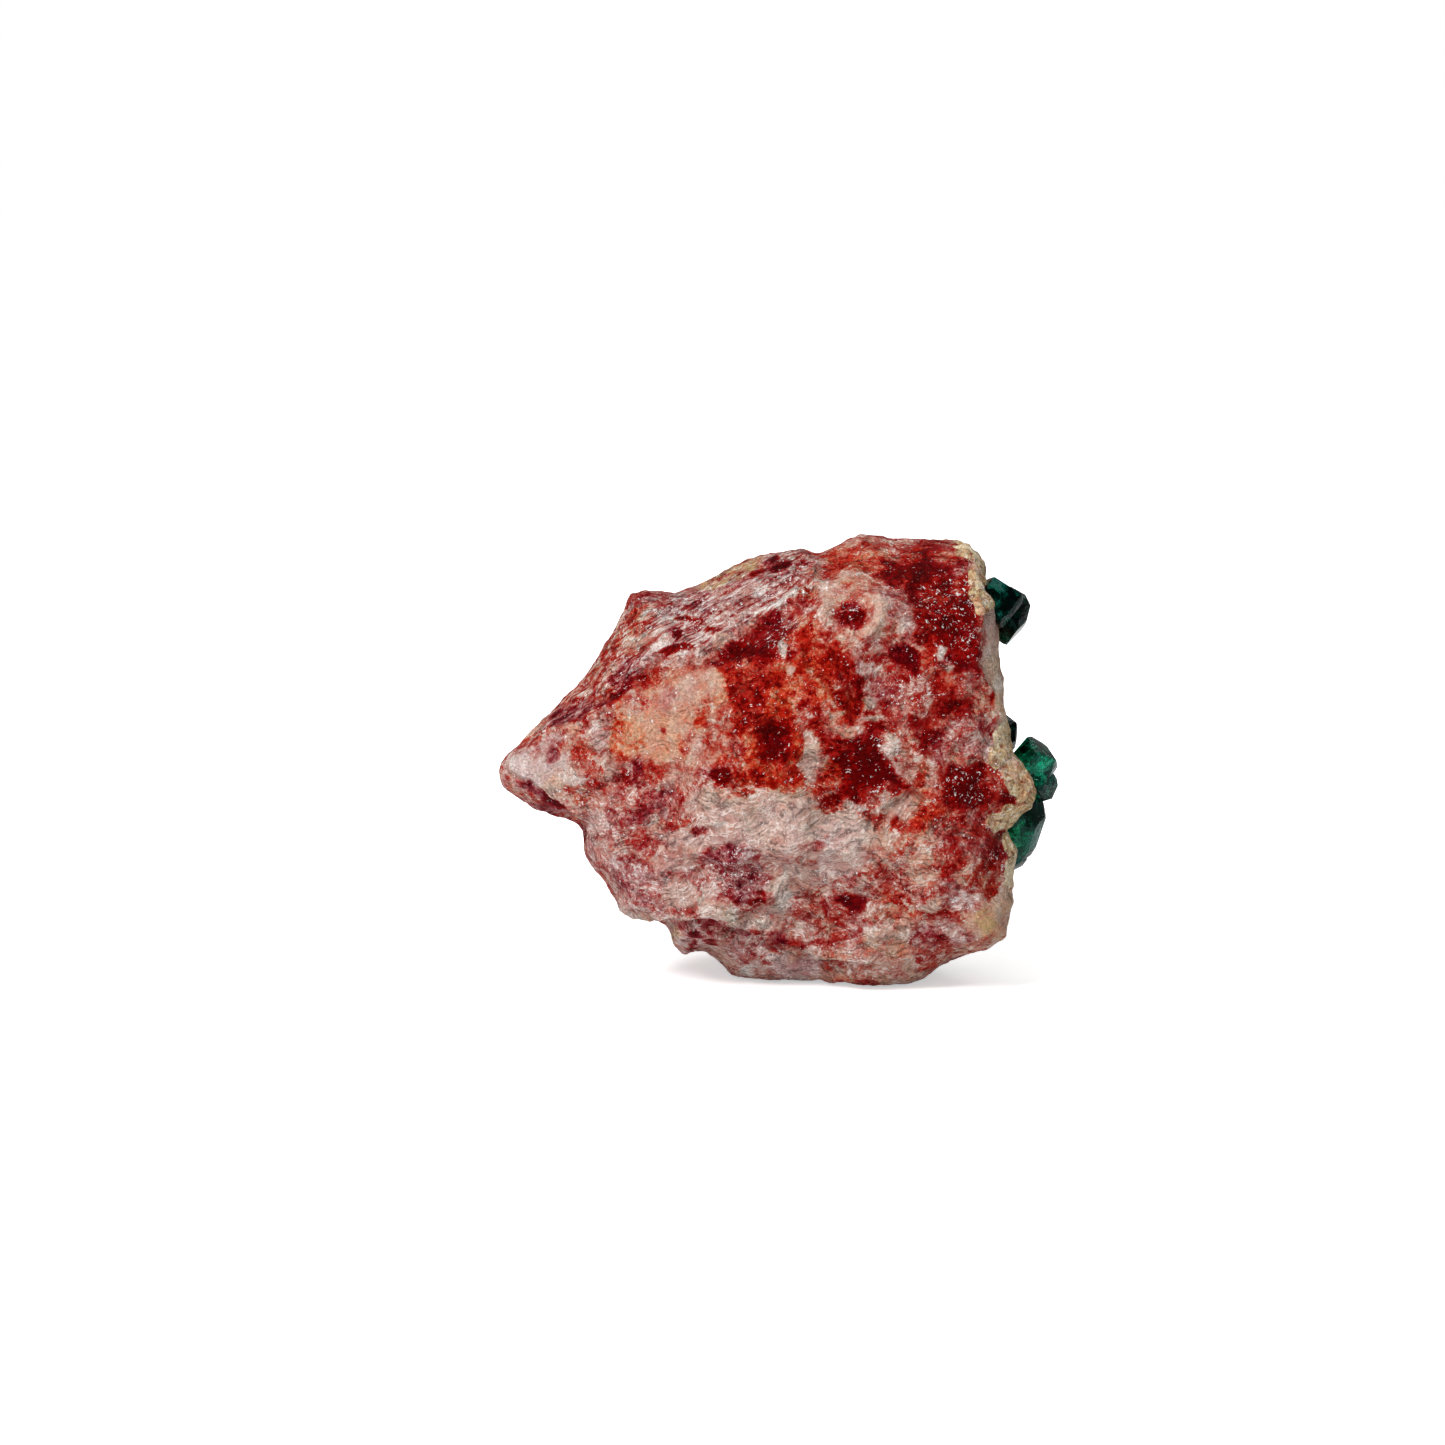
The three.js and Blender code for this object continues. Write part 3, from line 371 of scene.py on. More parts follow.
    (7.0, 9.0, 2.2, 2.0, 0, 0.32, 0.5), (6.4, 5.8, 1.6, 1.2, 0, 0.20, 0.3),
    (9.6, 6.2, 1.3, 1.5, 0, 0.18, 0.2), (8.0, 11.2, 1.6, 1.0, 0, 0.42, 0.1),
    (6.0, 11.2, 1.2, 1.0, 0, 0.50, 0.1), (4.0, 11.6, 1.3, 0.9, 0, 0.40, -0.1),
    (9.3, 9.0, 1.3, 1.2, 0, 0.64, 0.1), (9.3, 8.8, 0.4, 0.5, 0, -0.15, -0.1),
    (10.8, 8.6, 1.1, 0.8, 0, 0.50, 0.3), (13.0, 9.4, 1.2, 1.0, 0, 0.18, 0.2),
    (13.6, 8.0, 1.4, 0.5, 8, 0.70, 0.2), (16.5, 9.4, 2.0, 1.1, 0, 0.20, -0.5),
    (18.4, 8.3, 1.4, 0.9, 0, 0.34, -0.1), (14.5, 6.6, 1.6, 1.2, 0, 0.40, -0.4),
    (12.5, 5.2, 2.1, 1.4, 0, 0.60, -0.5), (14.3, 5.2, 0.7, 0.4, 0, 0.96, -0.3),
    (12.2, 2.8, 1.3, 1.1, 0, 0.66, 0.0), (16.0, 5.0, 1.6, 1.0, 0, 0.30, -0.4),
    (18.2, 4.3, 2.2, 0.9, 0, 0.32, 0.3), (3.0, 3.4, 3.2, 0.8, -5, 0.44, 0.4),
    (1.6, 1.6, 1.6, 0.9, 0, 0.38, 0.2), (7.5, 3.0, 2.8, 1.9, 0, 0.31, 0.4),
    (5.6, -0.6, 1.4, 0.6, 0, 0.60, 0.1), (8.4, 0.5, 1.6, 0.6, 0, 0.38, 0.2),
]

# Where the pale yellow crust shows on the broad face, and where the calcite is stained yellow. As above,
# without tone and warmth.
CRUST_MARKS = [
    (17.4, 49.8, 1.8, 1.1, -20), (18.0, 47.6, 1.2, 1.8, 0), (18.9, 44.6, 1.5, 2.3, 0),
    (21.3, 28.5, 1.0, 2.0, 0), (20.6, 25.8, 0.9, 1.6, 0),
    (23.4, 24.0, 1.7, 2.6, -20), (24.4, 22.0, 1.2, 1.6, 0), (22.6, 20.0, 1.4, 0.7, 20),
    (21.2, 18.4, 1.4, 0.8, 15), (21.9, 12.0, 0.5, 1.8, 0), (22.2, 16.5, 0.6, 1.6, 0),
]
# Where the stone shows through the crust, along the edge.
BARE_MARKS = [(20.8, 36.4, 2.0, 6.0, 0), (20.6, 7.4, 2.4, 4.4, 0)]
OCHRE_MARKS = [
    (-11.4, 47.2, 3.0, 1.3, 26), (-8.6, 48.8, 1.8, 0.6, 12), (19.4, 7.0, 1.2, 2.0, 0),
    (18.6, 46.4, 0.5, 2.4, 0), (-17.5, 5.5, 0.4, 1.0, 0), (21.9, 27.0, 0.8, 1.6, 0),
]
GROOVED_MARKS = [
    (-29.0, 33.6, 6.0, 1.9, 42), (-23.1, 38.4, 6.9, 3.0, 44), (-15.0, 42.4, 7.1, 3.5, 14),
    (-8.1, 45.0, 6.9, 3.2, 22), (-3.8, 47.8, 3.6, 2.0, 20), (-33.9, 28.2, 3.0, 1.2, 42),
]
# Where the stone is waxy and smooth, without the painted shade of cracks and the painted highlights along
# fine wrinkles.
WAXY_MARKS = [
    (-17.3, 29.5, 6.2, 6.2, 0), (-13.6, 34.4, 3.6, 2.6, 0), (4.0, 43.0, 4.0, 3.4, 0),
    (-32.0, 25.5, 4.0, 3.0, 0), (20.6, 36.8, 1.8, 6.6, 0), (19.8, 7.0, 3.0, 3.0, 0),
    (0.0, 36.0, 4.0, 4.0, 0),
]
# Where small bright crystal faces glitter, and the painted glints are denser.
GLITTER_MARKS = [
    (10.5, 33.5, 3.5, 2.0, 0), (17.0, 43.0, 1.8, 5.0, 0), (14.0, 43.5, 2.2, 3.0, 0),
    (-4.3, 40.0, 1.5, 2.6, 0), (17.3, 23.0, 2.6, 2.2, 0), (20.6, 24.3, 0.9, 2.6, 0),
    (8.0, 27.5, 1.6, 2.2, 0), (6.0, 21.0, 2.4, 1.4, 0), (-10.0, 13.0, 3.0, 2.2, 0),
    (-20.6, 32.8, 1.0, 0.9, 0), (18.3, 46.5, 1.0, 4.0, 0), (21.5, 14.5, 1.6, 1.6, 0),
    (-28.3, 22.4, 2.4, 2.0, 0), (3.0, 43.0, 1.8, 1.4, 0), (-16.0, 43.0, 4.0, 2.0, 0),
    (-3.0, 46.0, 4.0, 2.0, 30), (13.9, 37.4, 1.2, 1.2, 0), (16.5, 9.0, 1.8, 1.0, 0),
]

# Ridges (heights over 0) and hollows (under 0) of the broad face: height, how far it reaches to the left
# and to the right of its line as the line is followed, and the line, all in millimetres.
FOLDS = [
    (-0.6, 0.8, 0.9, [
        (-30.0, 31.2), (-25.0, 33.4), (-20.0, 34.9), (-17.0, 36.0), (-14.0, 37.4), (-9.0, 39.0),
    ]),
    (0.8, 0.6, 1.1, [(-8.6, 41.0), (-5.4, 43.1), (-2.9, 44.8), (-0.9, 47.2), (0.0, 49.4)]),
    (-1.0, 0.12, 1.9, [(-34.2, 23.2), (-32.8, 22.3), (-31.5, 21.0), (-30.0, 19.9), (-28.2, 18.2)]),
    (0.8, 2.2, 0.25, [
        (-22.5, 8.2), (-18.0, 7.2), (-15.0, 7.6), (-12.4, 7.4),
        (-8.0, 5.8), (-4.0, 4.5), (0.0, 2.8), (5.0, 2.3),
    ]),
    (-0.5, 0.2, 1.0, [
        (-20.0, 7.0), (-15.0, 7.1), (-12.2, 6.8), (-8.0, 5.3), (-4.0, 4.1), (0.0, 2.4), (5.0, 1.9),
    ]),
    (-0.6, 0.25, 0.3, [(5.8, 17.6), (6.2, 19.5), (7.5, 21.3), (9.4, 23.3)]),
    (-0.5, 0.2, 0.35, [(6.6, 18.0), (8.0, 19.6), (9.2, 21.2)]),
    (0.5, 0.4, 0.4, [(6.6, 19.6), (7.8, 21.0), (9.8, 22.4)]),
    (-0.4, 0.2, 0.4, [(-1.8, 38.3), (0.4, 35.2), (2.6, 32.0)]),
    (0.35, 0.5, 0.3, [(-2.6, 38.0), (-0.4, 34.8), (1.6, 32.0)]),
    (-0.3, 0.15, 0.25, [(-15.2, 17.1), (-12.5, 17.7), (-10.5, 18.3)]),
    (-0.25, 0.15, 0.25, [(-2.0, 15.6), (1.5, 16.3), (3.0, 17.0), (5.0, 17.7)]),
    (-0.3, 0.2, 0.25, [(0.8, 13.4), (2.5, 15.4), (4.4, 16.3)]),
    (-0.3, 0.15, 0.25, [(-4.6, 13.7), (-3.0, 13.5)]),
    (-0.3, 0.15, 0.25, [(-3.9, 12.8), (-2.3, 10.7)]),
    (-0.3, 0.15, 0.25, [(-19.6, 11.8), (-16.5, 11.4), (-15.2, 10.1)]),
    (-0.3, 0.15, 0.25, [(-17.6, 12.2), (-16.5, 9.8)]),
    (-0.3, 0.15, 0.25, [(-15.8, 11.9), (-14.7, 9.7)]),
    (-0.3, 0.15, 0.3, [(-25.0, 19.9), (-22.0, 19.6), (-20.0, 19.8)]),
    (-0.35, 0.2, 0.3, [(-27.8, 18.2), (-25.6, 17.1), (-24.4, 16.0)]),
    (0.5, 0.6, 0.5, [(13.8, 25.2), (15.4, 27.8), (18.2, 29.4)]),
    (-1.0, 2.0, 2.0, [(4.0, 24.6), (6.6, 24.6)]),
    (-0.7, 1.6, 1.6, [(-5.4, 28.6), (-5.0, 26.6)]),
    (-0.6, 1.2, 1.2, [(2.6, 42.6), (4.6, 42.3)]),
    (0.6, 1.1, 1.1, [(0.6, 42.6), (1.0, 45.3), (3.5, 46.5), (6.6, 45.2), (7.4, 42.5), (5.6, 40.2)]),
    (0.5, 0.5, 1.2, [
        (17.3, 49.0), (18.1, 45.0), (18.5, 42.0), (18.0, 37.0), (19.8, 34.0), (21.0, 31.0),
    ]),
    (0.7, 1.1, 1.1, [(12.8, 9.3), (13.3, 9.3)]),
    (0.7, 1.3, 1.3, [(9.4, 6.1), (9.9, 6.1)]),
    (0.6, 1.3, 1.3, [(6.2, 5.7), (6.7, 5.7)]),
    (0.6, 0.8, 0.8, [(18.6, 9.3), (20.4, 8.6), (21.6, 9.4)]),
    (0.55, 0.3, 2.4, [
        (-14.8, 21.3), (-11.0, 22.8), (-8.0, 21.3), (-5.0, 22.1),
        (-1.5, 21.2), (1.0, 19.6), (3.6, 20.9), (5.6, 19.0),
    ]),
    (-0.6, 0.9, 0.9, [(0.0, 51.0), (0.3, 48.2)]),
    (-0.6, 1.0, 1.2, [(-24.6, 25.8), (-22.5, 24.4), (-20.0, 24.0)]),
    (0.5, 1.4, 1.4, [(-29.5, 25.6), (-28.0, 23.2)]),
    (-0.6, 0.5, 0.5, [(-31.3, 26.4), (-30.8, 26.2)]),
    (-0.5, 0.9, 0.9, [(9.5, 38.2), (10.0, 35.8)]),
    (-0.5, 0.8, 0.8, [(2.4, 37.0), (3.8, 33.5), (4.2, 30.6)]),
    (-0.6, 1.6, 1.6, [(15.5, 22.0), (18.5, 22.8)]),
    (0.5, 0.7, 0.7, [(7.4, 29.6), (8.4, 28.2), (8.0, 26.2), (9.0, 25.0)]),
    (0.6, 0.9, 0.9, [(-26.5, 28.0), (-25.0, 26.0), (-24.5, 24.0)]),
    (-0.5, 0.6, 0.6, [(-9.0, 11.2), (-7.2, 10.0), (-7.0, 8.6)]),
    (0.5, 1.2, 1.2, [(-12.6, 9.0), (-10.0, 8.0)]),
]

# ---------------------------------------------------------------- the crystals

# The faces of a crystal, for each set of like faces: how many; degrees round the prism to the first one;
# degrees from the prism's axis to the way it looks; and how far out it stands, as a share of half the
# width added to a share of half the length.
CRYSTAL_FACES = (
    (6, 0.0, 90.0, 1.0, 0.0),  # prism
    (6, 30.0, 90.0, 1.08, 0.0),  # narrow faces along its edges
    (3, 30.0, 51.0, 0.0, 0.63),  # upper cap
    (3, 90.0, 129.0, 0.0, 0.63),  # lower cap
    (3, 90.0, 62.0, 0.6, 0.436),  # steeper faces below the upper cap
    (3, 30.0, 118.0, 0.6, 0.436),  # and above the lower one
)
UNEVENNESS = 0.12  # how much a face's distance varies, as a share of it
CHIPS = 22  # small flat chips off each crystal's corners and edges
CHIPPED_TO = (0.86, 0.09)  # share of a corner's reach that a chip leaves at least, and what it may add
LEAST_EDGE = 0.06  # a crystal's edges shorter than this, in millimetres, are closed up
FLAT_WITHIN_DEG = 0.5  # faces that turn less than this are one face
WORN_FROM_DEG = 20.0  # edges that turn more than this are worn
SMOOTH_TO_DEG = 18.0
DIOPTASE_IOR = 1.67
SHINE_TINT = (0.35, 1.0, 0.85)  # colour of the reflections, which a look's shine scales

# The fractures inside the crystals, from near black to bright.
GREENS = (
    (0.30, (0.0, 0.006, 0.004)),
    (0.45, (0.0, 0.05, 0.035)),
    (0.58, (0.0, 0.28, 0.20)),
    (0.72, (0.03, 0.78, 0.58)),
    (0.88, (0.30, 1.0, 0.90)),
)

# The look of the usual green, and of the groups that differ from it: how fast the colour deepens, against
# the setting for it; how much lighter the fractures inside are; how bright the reflections are, as a share
# of full; and a band of painted light, where the fractures are painted lighter where light falls on the
# crystals: its height above the ground and half its width, both in millimetres, and how much lighter it
# is.
USUAL_LOOK = (1.0, -0.05, 0.5, (0.0, 1.0, 0.0))
LOOKS = {
    "dioptase_upper_pair": (2.0, -0.24, 0.15, (48.6, 3.6, 0.60)),
    "dioptase_dark_sliver": (3.0, -0.40, 0.06, (0.0, 1.0, 0.0)),
    "dioptase_bright_pair": (0.7, -0.05, 0.3, (24.6, 3.2, 0.14)),
    "dioptase_low_prism": (1.3, -0.30, 0.45, (16.8, 2.8, 0.60)),
}

# For each group, its crystals: middle, way that the prism runs, degrees about it, width across two
# flat sides, and length from tip to tip, in millimetres.
CRYSTALS = {
    "dioptase_upper_pair": [
        ((19.5, -3.0, 44.4), (-0.04, -0.35, 0.92), 14, 5.8, 7.2),
        ((20.8, -1.7, 42.9), (0.04, 0.12, 0.98), 20, 5.3, 7.2),
    ],
    "dioptase_dark_sliver": [((20.6, 0.0, 28.8), (0.1, 0.2, 0.97), 0, 3.4, 5.4)],
    "dioptase_bright_pair": [
        ((24.3, -1.4, 26.0), (0.1, -0.8, 0.5), 20, 4.9, 6.4),
        ((24.6, -1.4, 23.9), (0.5, -0.3, -0.7), 5, 4.0, 6.0),
    ],
    "dioptase_low_prism": [
        ((22.7, 0.6, 17.8), (0.32, 0.1, 0.93), 28, 4.6, 9.9),
        ((22.3, 0.4, 14.8), (0.25, 0.1, 0.93), 10, 2.8, 4.2),
    ],
    "dioptase_centre_group": [
        ((16.3, 11.2, 31.3), (0.6, 0.05, 0.8), 10, 6.0, 9.6),
        ((14.5, 15.1, 28.6), (0.5, 0.8, 0.34), 35, 5.2, 8.4),
        ((15.9, 12.4, 25.7), (0.8, 0.25, -0.5), 50, 5.0, 7.4),
        ((17.7, 8.0, 27.7), (0.75, -0.55, 0.3), 22, 3.8, 5.8),
        ((12.6, 13.7, 32.3), (0.55, 0.5, 0.7), 44, 3.8, 6.4),
    ],
    "dioptase_top_group": [
        ((14.4, 13.7, 40.4), (0.4, 0.35, 0.85), 18, 5.0, 8.4),
        ((16.0, 10.5, 39.1), (0.8, -0.2, 0.55), 45, 3.8, 5.8),
        ((11.8, 15.2, 37.3), (0.5, 0.8, 0.2), 12, 3.4, 5.4),
    ],
    "dioptase_foot_group": [
        ((15.7, 12.5, 16.2), (0.55, 0.3, 0.78), 8, 5.0, 8.0),
        ((17.7, 8.9, 14.2), (0.85, -0.4, 0.3), 30, 4.0, 6.0),
        ((12.5, 14.1, 14.7), (0.4, 0.85, -0.2), 55, 3.8, 5.8),
    ],
    "dioptase_near_single": [((17.8, 4.0, 34.7), (0.5, -0.2, 0.84), 26, 4.0, 6.2)],
    "dioptase_far_pair": [
        ((8.5, 18.1, 34.1), (0.3, 0.7, 0.65), 12, 4.2, 7.2),
        ((7.9, 18.6, 31.8), (0.6, 0.8, -0.1), 38, 3.2, 5.0),
    ],
    "dioptase_low_single": [((20.0, 4.5, 19.4), (0.7, 0.1, 0.7), 48, 3.6, 5.4)],
    "dioptase_small_pair": [
        ((12.1, 17.4, 21.2), (0.6, 0.75, 0.3), 5, 3.2, 5.0),
        ((11.0, 18.6, 23.1), (0.4, 0.6, 0.7), 33, 2.8, 4.4),
    ],
}


# ---------------------------------------------------------------- the studio

FLOOR_RADIUS = 6.0  # this and the lights' places and sizes are in metres
LIGHTS_AIM = (0.0, 0.0, 0.025)
LIGHTS = {  # where each stands and how wide it is
    "key": ((-0.32, -0.42, 0.50), 0.28),
    "fill": ((-0.50, -1.00, 0.10), 1.2),
    "top": ((0.05, 0.20, 0.65), 0.60),
}
WHITE = (1.0, 1.0, 1.0, 1.0)


# ---------------------------------------------------------------- settings


class StoneSettings(bpy.types.PropertyGroup):
    """What a user would change on the stone."""

    grain: FloatProperty(
        name="Grain", description="Distance between the stone's vertices, in millimetres",
        default=0.345, min=0.3, max=2.0,
    )
    chips: FloatProperty(
        name="Chips", description="Depth of the chips and ledges, in millimetres", default=0.5, min=0.0
    )
    grooves: FloatProperty(
        name="Grooves", description="Depth of the grooves on the bevel, in millimetres",
        default=0.55, min=0.0,
    )
    crumbs: FloatProperty(
        name="Crumbs", description="Height of the crust's crumbs, in millimetres", default=0.55, min=0.0
    )
    paleness: FloatProperty(
        name="Paleness", description="Lowers the tone of the whole stone, to make it paler",
        default=-0.015, min=-0.5, max=0.5,
    )
    crust: FloatVectorProperty(
        name="Crust", description="Colour of the crust under the crystals", subtype="COLOR",
        default=(0.72, 0.51, 0.26), min=0.0, max=1.0,
    )
    ochre: FloatVectorProperty(
        name="Ochre", description="Colour of the yellow stains", subtype="COLOR",
        default=(0.58, 0.38, 0.16), min=0.0, max=1.0,
    )


class CrystalSettings(bpy.types.PropertyGroup):
    """What a user would change on the crystals."""

    edge: FloatProperty(
        name="Edge", description="Width of the worn edges, in millimetres", default=0.12, min=0.0
    )
    depth_colour: FloatVectorProperty(
        name="Depth Colour", description="Colour that a thick crystal lets through", subtype="COLOR",
        default=(0.0, 0.80, 0.68), min=0.0, max=1.0,
    )
    depth: FloatProperty(
        name="Depth", description="How fast the colour deepens, per metre of crystal",
        default=1500.0, min=0.0,
    )


class StudioSettings(bpy.types.PropertyGroup):
    """What a user would change in the studio."""

    key: FloatProperty(
        name="Key Light", description="Power of the main light", default=5.2, unit="POWER"
    )
    fill: FloatProperty(
        name="Fill Light", description="Power of the wide low light", default=6.2, unit="POWER"
    )
    top: FloatProperty(
        name="Top Light", description="Power of the light above", default=2.0, unit="POWER"
    )
    ambient: FloatProperty(
        name="Ambient", description="Strength of the light from all round", default=0.2
    )


# ---------------------------------------------------------------- modelling helpers


def only(piece):
    """Leaves the piece alone in the selection."""
    bpy.ops.object.select_all(action="DESELECT")
    piece.select_set(True)
    bpy.context.view_layer.objects.active = piece


def apply_modifier(piece, modifier):
    """Makes what a modifier does part of the piece's mesh."""
    only(piece)
    bpy.ops.object.modifier_apply(modifier=modifier.name)


def merged_copy(node, name):
    """A copy of a CAD node whose triangles share their corners."""
    piece = bpy.data.objects.new(name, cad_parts[node].data.copy())
    bpy.context.scene.collection.objects.link(piece)
    piece.data.materials.clear()
    only(piece)
    bpy.ops.object.mode_set(mode="EDIT")
    bpy.ops.mesh.select_all(action="SELECT")
    bpy.ops.mesh.remove_doubles(threshold=0.002 * MM)
    bpy.ops.object.mode_set(mode="OBJECT")
    return piece


# ---------------------------------------------------------------- stone: shape


def vertex_places(stone):
    """The places of the stone's vertices, a row for each, in millimetres."""
    places = np.empty(len(stone.data.vertices) * 3)
    stone.data.vertices.foreach_get("co", places)
    return places.reshape(-1, 3) / MM


def ragged_places(places, size, reach):
    """The places pushed about by smooth noise, so that what is looked up there has ragged edges."""
    pushes = [noise.noise_vector(Vector(place) / size) for place in places]
    return places + np.array(pushes) * reach


def clouds(places, size, octaves, offset):
    """Smooth noise at the places, mostly between -1 and 1."""
    shift = Vector((offset, 0.0, 0.0))
    values = [noise.fractal(Vector(place) / size + shift, 0.8, 2.0, octaves) for place in places]
    return np.array(values)


def clouded(places, middle, change, size, octaves, offset):
    """A value that clouds change, at the places."""
    return middle + change * clouds(places, size, octaves, offset)


def smooth_step(values, low, high):
    """0 at low, 1 at high, and a smooth rise between them; low may be the greater."""
    share = np.clip((values - low) / (high - low), 0.0, 1.0)
    return share * share * (3.0 - 2.0 * share)


def as_seen(places):
    """Millimetres across and up, as the camera sees the places."""
    away = places - np.array(CAMERA_AT / MM)
    depth = away @ np.array(VIEW_FORWARD)
    nearer = CAMERA_DISTANCE / depth
    across = away[:, 0] * nearer + CAMERA_AT.x / MM
    up = (away @ np.array(VIEW_UP)) * nearer + CAMERA_AT.dot(VIEW_UP) / MM
    return across, up


def mark_reach(across, up, mark):
    """0 in the middle of a mark, 1 at its edge, more beyond."""
    turn = math.radians(mark[4])
    x, y = across - mark[0], up - mark[1]
    along = (x * math.cos(turn) + y * math.sin(turn)) / mark[2]
    over = (y * math.cos(turn) - x * math.sin(turn)) / mark[3]
    return np.sqrt(along**2 + over**2)


def covered(across, up, marks):
    """1 on the marks, 0 away from them."""
    nearest = np.full(len(across), 9.0)
    for mark in marks:
        nearest = np.minimum(nearest, mark_reach(across, up, mark))
    return smooth_step(nearest, *OTHER_MARK_EDGE)


def fold_height(across, up, fold):
    """How much a fold lifts the surface."""
    height, left, right, line = fold
    best = np.full(len(across), 1e9)
    on_left = np.zeros(len(across), dtype=bool)
    for (x0, y0), (x1, y1) in zip(line, line[1:]):
        dx, dy = x1 - x0, y1 - y0
        share = np.clip(((across - x0) * dx + (up - y0) * dy) / (dx * dx + dy * dy), 0.0, 1.0)
        gap_x, gap_y = across - x0 - share * dx, up - y0 - share * dy
        gap = np.hypot(gap_x, gap_y)
        nearer = gap < best
        best = np.where(nearer, gap, best)
        on_left = np.where(nearer, dx * gap_y - dy * gap_x > 0.0, on_left)
    width = np.where(on_left, left, right)
    return height * np.exp(-((best / width) ** 2))


def note(stone, name, values):
    """Keeps a value for each vertex on the stone, for its material to read."""
    attribute = stone.data.attributes.new(name, "FLOAT", "POINT")
    attribute.data.foreach_set("value", values.astype(np.float32))


def weigh(stone, name, shares):
    """A vertex group with a weight for each vertex."""
    group = stone.vertex_groups.new(name=name)
    for index in np.nonzero(shares > LEAST_WEIGHT)[0]:
        group.add([int(index)], float(shares[index]), "REPLACE")


def vertex_normals(stone):
    """The way that the surface looks at each of the stone's vertices, a row for each."""
    normals = np.empty(len(stone.data.vertices) * 3)
    stone.data.vertices.foreach_get("normal", normals)
    return normals.reshape(-1, 3)


def mark_stone(stone):
    """Notes the stone's tones on it, and weighs where its crust, grooves and folds are."""
    noise.seed_set(NOISE_SEED)
    places = vertex_places(stone)
    ragged = places
    for size, reach in MARK_PUSHES:
        ragged = ragged_places(ragged, size, reach)
    across, up = as_seen(ragged)
    faces_camera = -(vertex_normals(stone) @ np.array(VIEW_FORWARD))
    shown = smooth_step(places[:, 1], *MARKS_END) * smooth_step(faces_camera, *MARKS_TURN)

    tone = clouded(places, *SHOWN_TONE)
    warmth = clouded(places, *SHOWN_WARMTH)
    hidden_tone = clouded(ragged, *HIDDEN_TONE)
    hidden_warmth = clouded(ragged, *HIDDEN_WARMTH)
    for mark in MARKS:
        cover = smooth_step(mark_reach(across, up, mark), *TONE_MARK_EDGE)
        tone += (mark[5] - tone) * cover
        warmth += (mark[6] - warmth) * cover
    lower_left = smooth_step(up, *LOWER_LEFT_RISE) * smooth_step(across, *LOWER_LEFT_ACROSS)
    # Painted light: the tone of the foot is made paler, against the shade on the low part of the stone.
    tone -= LOWER_LEFT_PALER * lower_left + FOOT_PAINTED_LIGHT * smooth_step(up, *FOOT_LIGHT_RISE)
    warmth -= LOWER_LEFT_COOLER * lower_left
    note(stone, "tone", hidden_tone + (tone - hidden_tone) * shown)
    note(stone, "warmth", hidden_warmth + (warmth - hidden_warmth) * shown)

    along = (ragged - np.array(STONE_CENTRE)) @ np.array(CRYSTAL_FACE_LOOKS)
    crust = smooth_step(along, CRUST_STARTS - CRUST_EDGE, CRUST_STARTS + CRUST_EDGE)
    crust = np.maximum(crust, covered(across, up, CRUST_MARKS) * shown)
    crust *= 1.0 - covered(across, up, BARE_MARKS) * shown
    grooved = covered(across, up, GROOVED_MARKS) * smooth_step(places[:, 1], *GROOVES_END)
    grooved *= 1.0 - crust
    hidden_ochre = smooth_step(clouds(ragged, *HIDDEN_OCHRE), *HIDDEN_OCHRE_EDGE)
    ochre = np.maximum(covered(across, up, OCHRE_MARKS) * shown, hidden_ochre * (1.0 - shown))
    glitter = np.maximum(covered(across, up, GLITTER_MARKS) * shown, HIDDEN_GLITTER * (1.0 - shown))
    waxy = covered(across, up, WAXY_MARKS) * shown
    noted = {"crust": crust, "grooved": grooved, "ochre": ochre, "glitter": glitter, "waxy": waxy}
    for name, shares in noted.items():
        note(stone, name, shares)
    weigh(stone, "crust", crust)
    weigh(stone, "grooved", grooved)

    across, up = as_seen(ragged_places(places, *FOLD_PUSH))
    lift = sum(fold_height(across, up, fold) for fold in FOLDS) * shown
    weigh(stone, "ridges", np.clip(lift, 0.0, FOLD_LIMIT) / FOLD_LIMIT)
    weigh(stone, "hollows", np.clip(-lift, 0.0, FOLD_LIMIT) / FOLD_LIMIT)


def relief(stone, texture, strength, group="", inverted=False, guide=None):
    """Moves the stone's vertices in and out by a texture, and applies it."""
    modifier = stone.modifiers.new(texture.name, "DISPLACE")
    modifier.texture = texture
    modifier.strength = strength * MM
    modifier.mid_level = 0.5
    modifier.vertex_group = group
    modifier.invert_vertex_group = inverted
    if guide is None:
        modifier.texture_coords = "LOCAL"
    else:
        modifier.texture_coords = "OBJECT"
        modifier.texture_coords_object = guide
    apply_modifier(stone, modifier)


def cloud_texture(name, size, depth=2):
    """A texture of soft swells."""
    texture = bpy.data.textures.new(name, "CLOUDS")
    texture.noise_scale = size
    texture.noise_depth = depth
    texture.noise_basis = "ORIGINAL_PERLIN"
    return texture


def cell_texture(name, size, weights):
    """A texture of cells, from the weighed distances to the nearest and the next cell's middle."""
    texture = bpy.data.textures.new(name, "VORONOI")
    texture.noise_scale = size
    texture.weight_1, texture.weight_2 = weights
    return texture


def move_by_weight(stone, group, height):
    """Moves the stone's vertices straight out by their weight in a group."""
    modifier = stone.modifiers.new(group, "DISPLACE")
    modifier.strength = height * MM
    modifier.mid_level = 0.0
    modifier.vertex_group = group
    apply_modifier(stone, modifier)


def groove_guide():
    """An empty whose X runs along the grooves on the bevel and whose Z runs across them."""
    guide = bpy.data.objects.new("groove_guide", None)
    guide.rotation_euler = (0.0, -math.radians(GROOVES_RISE_DEG), 0.0)
    guide.scale = [size * MM for size in GROOVE_SIZES]
    bpy.context.scene.collection.objects.link(guide)
    bpy.context.view_layer.update()
    return guide


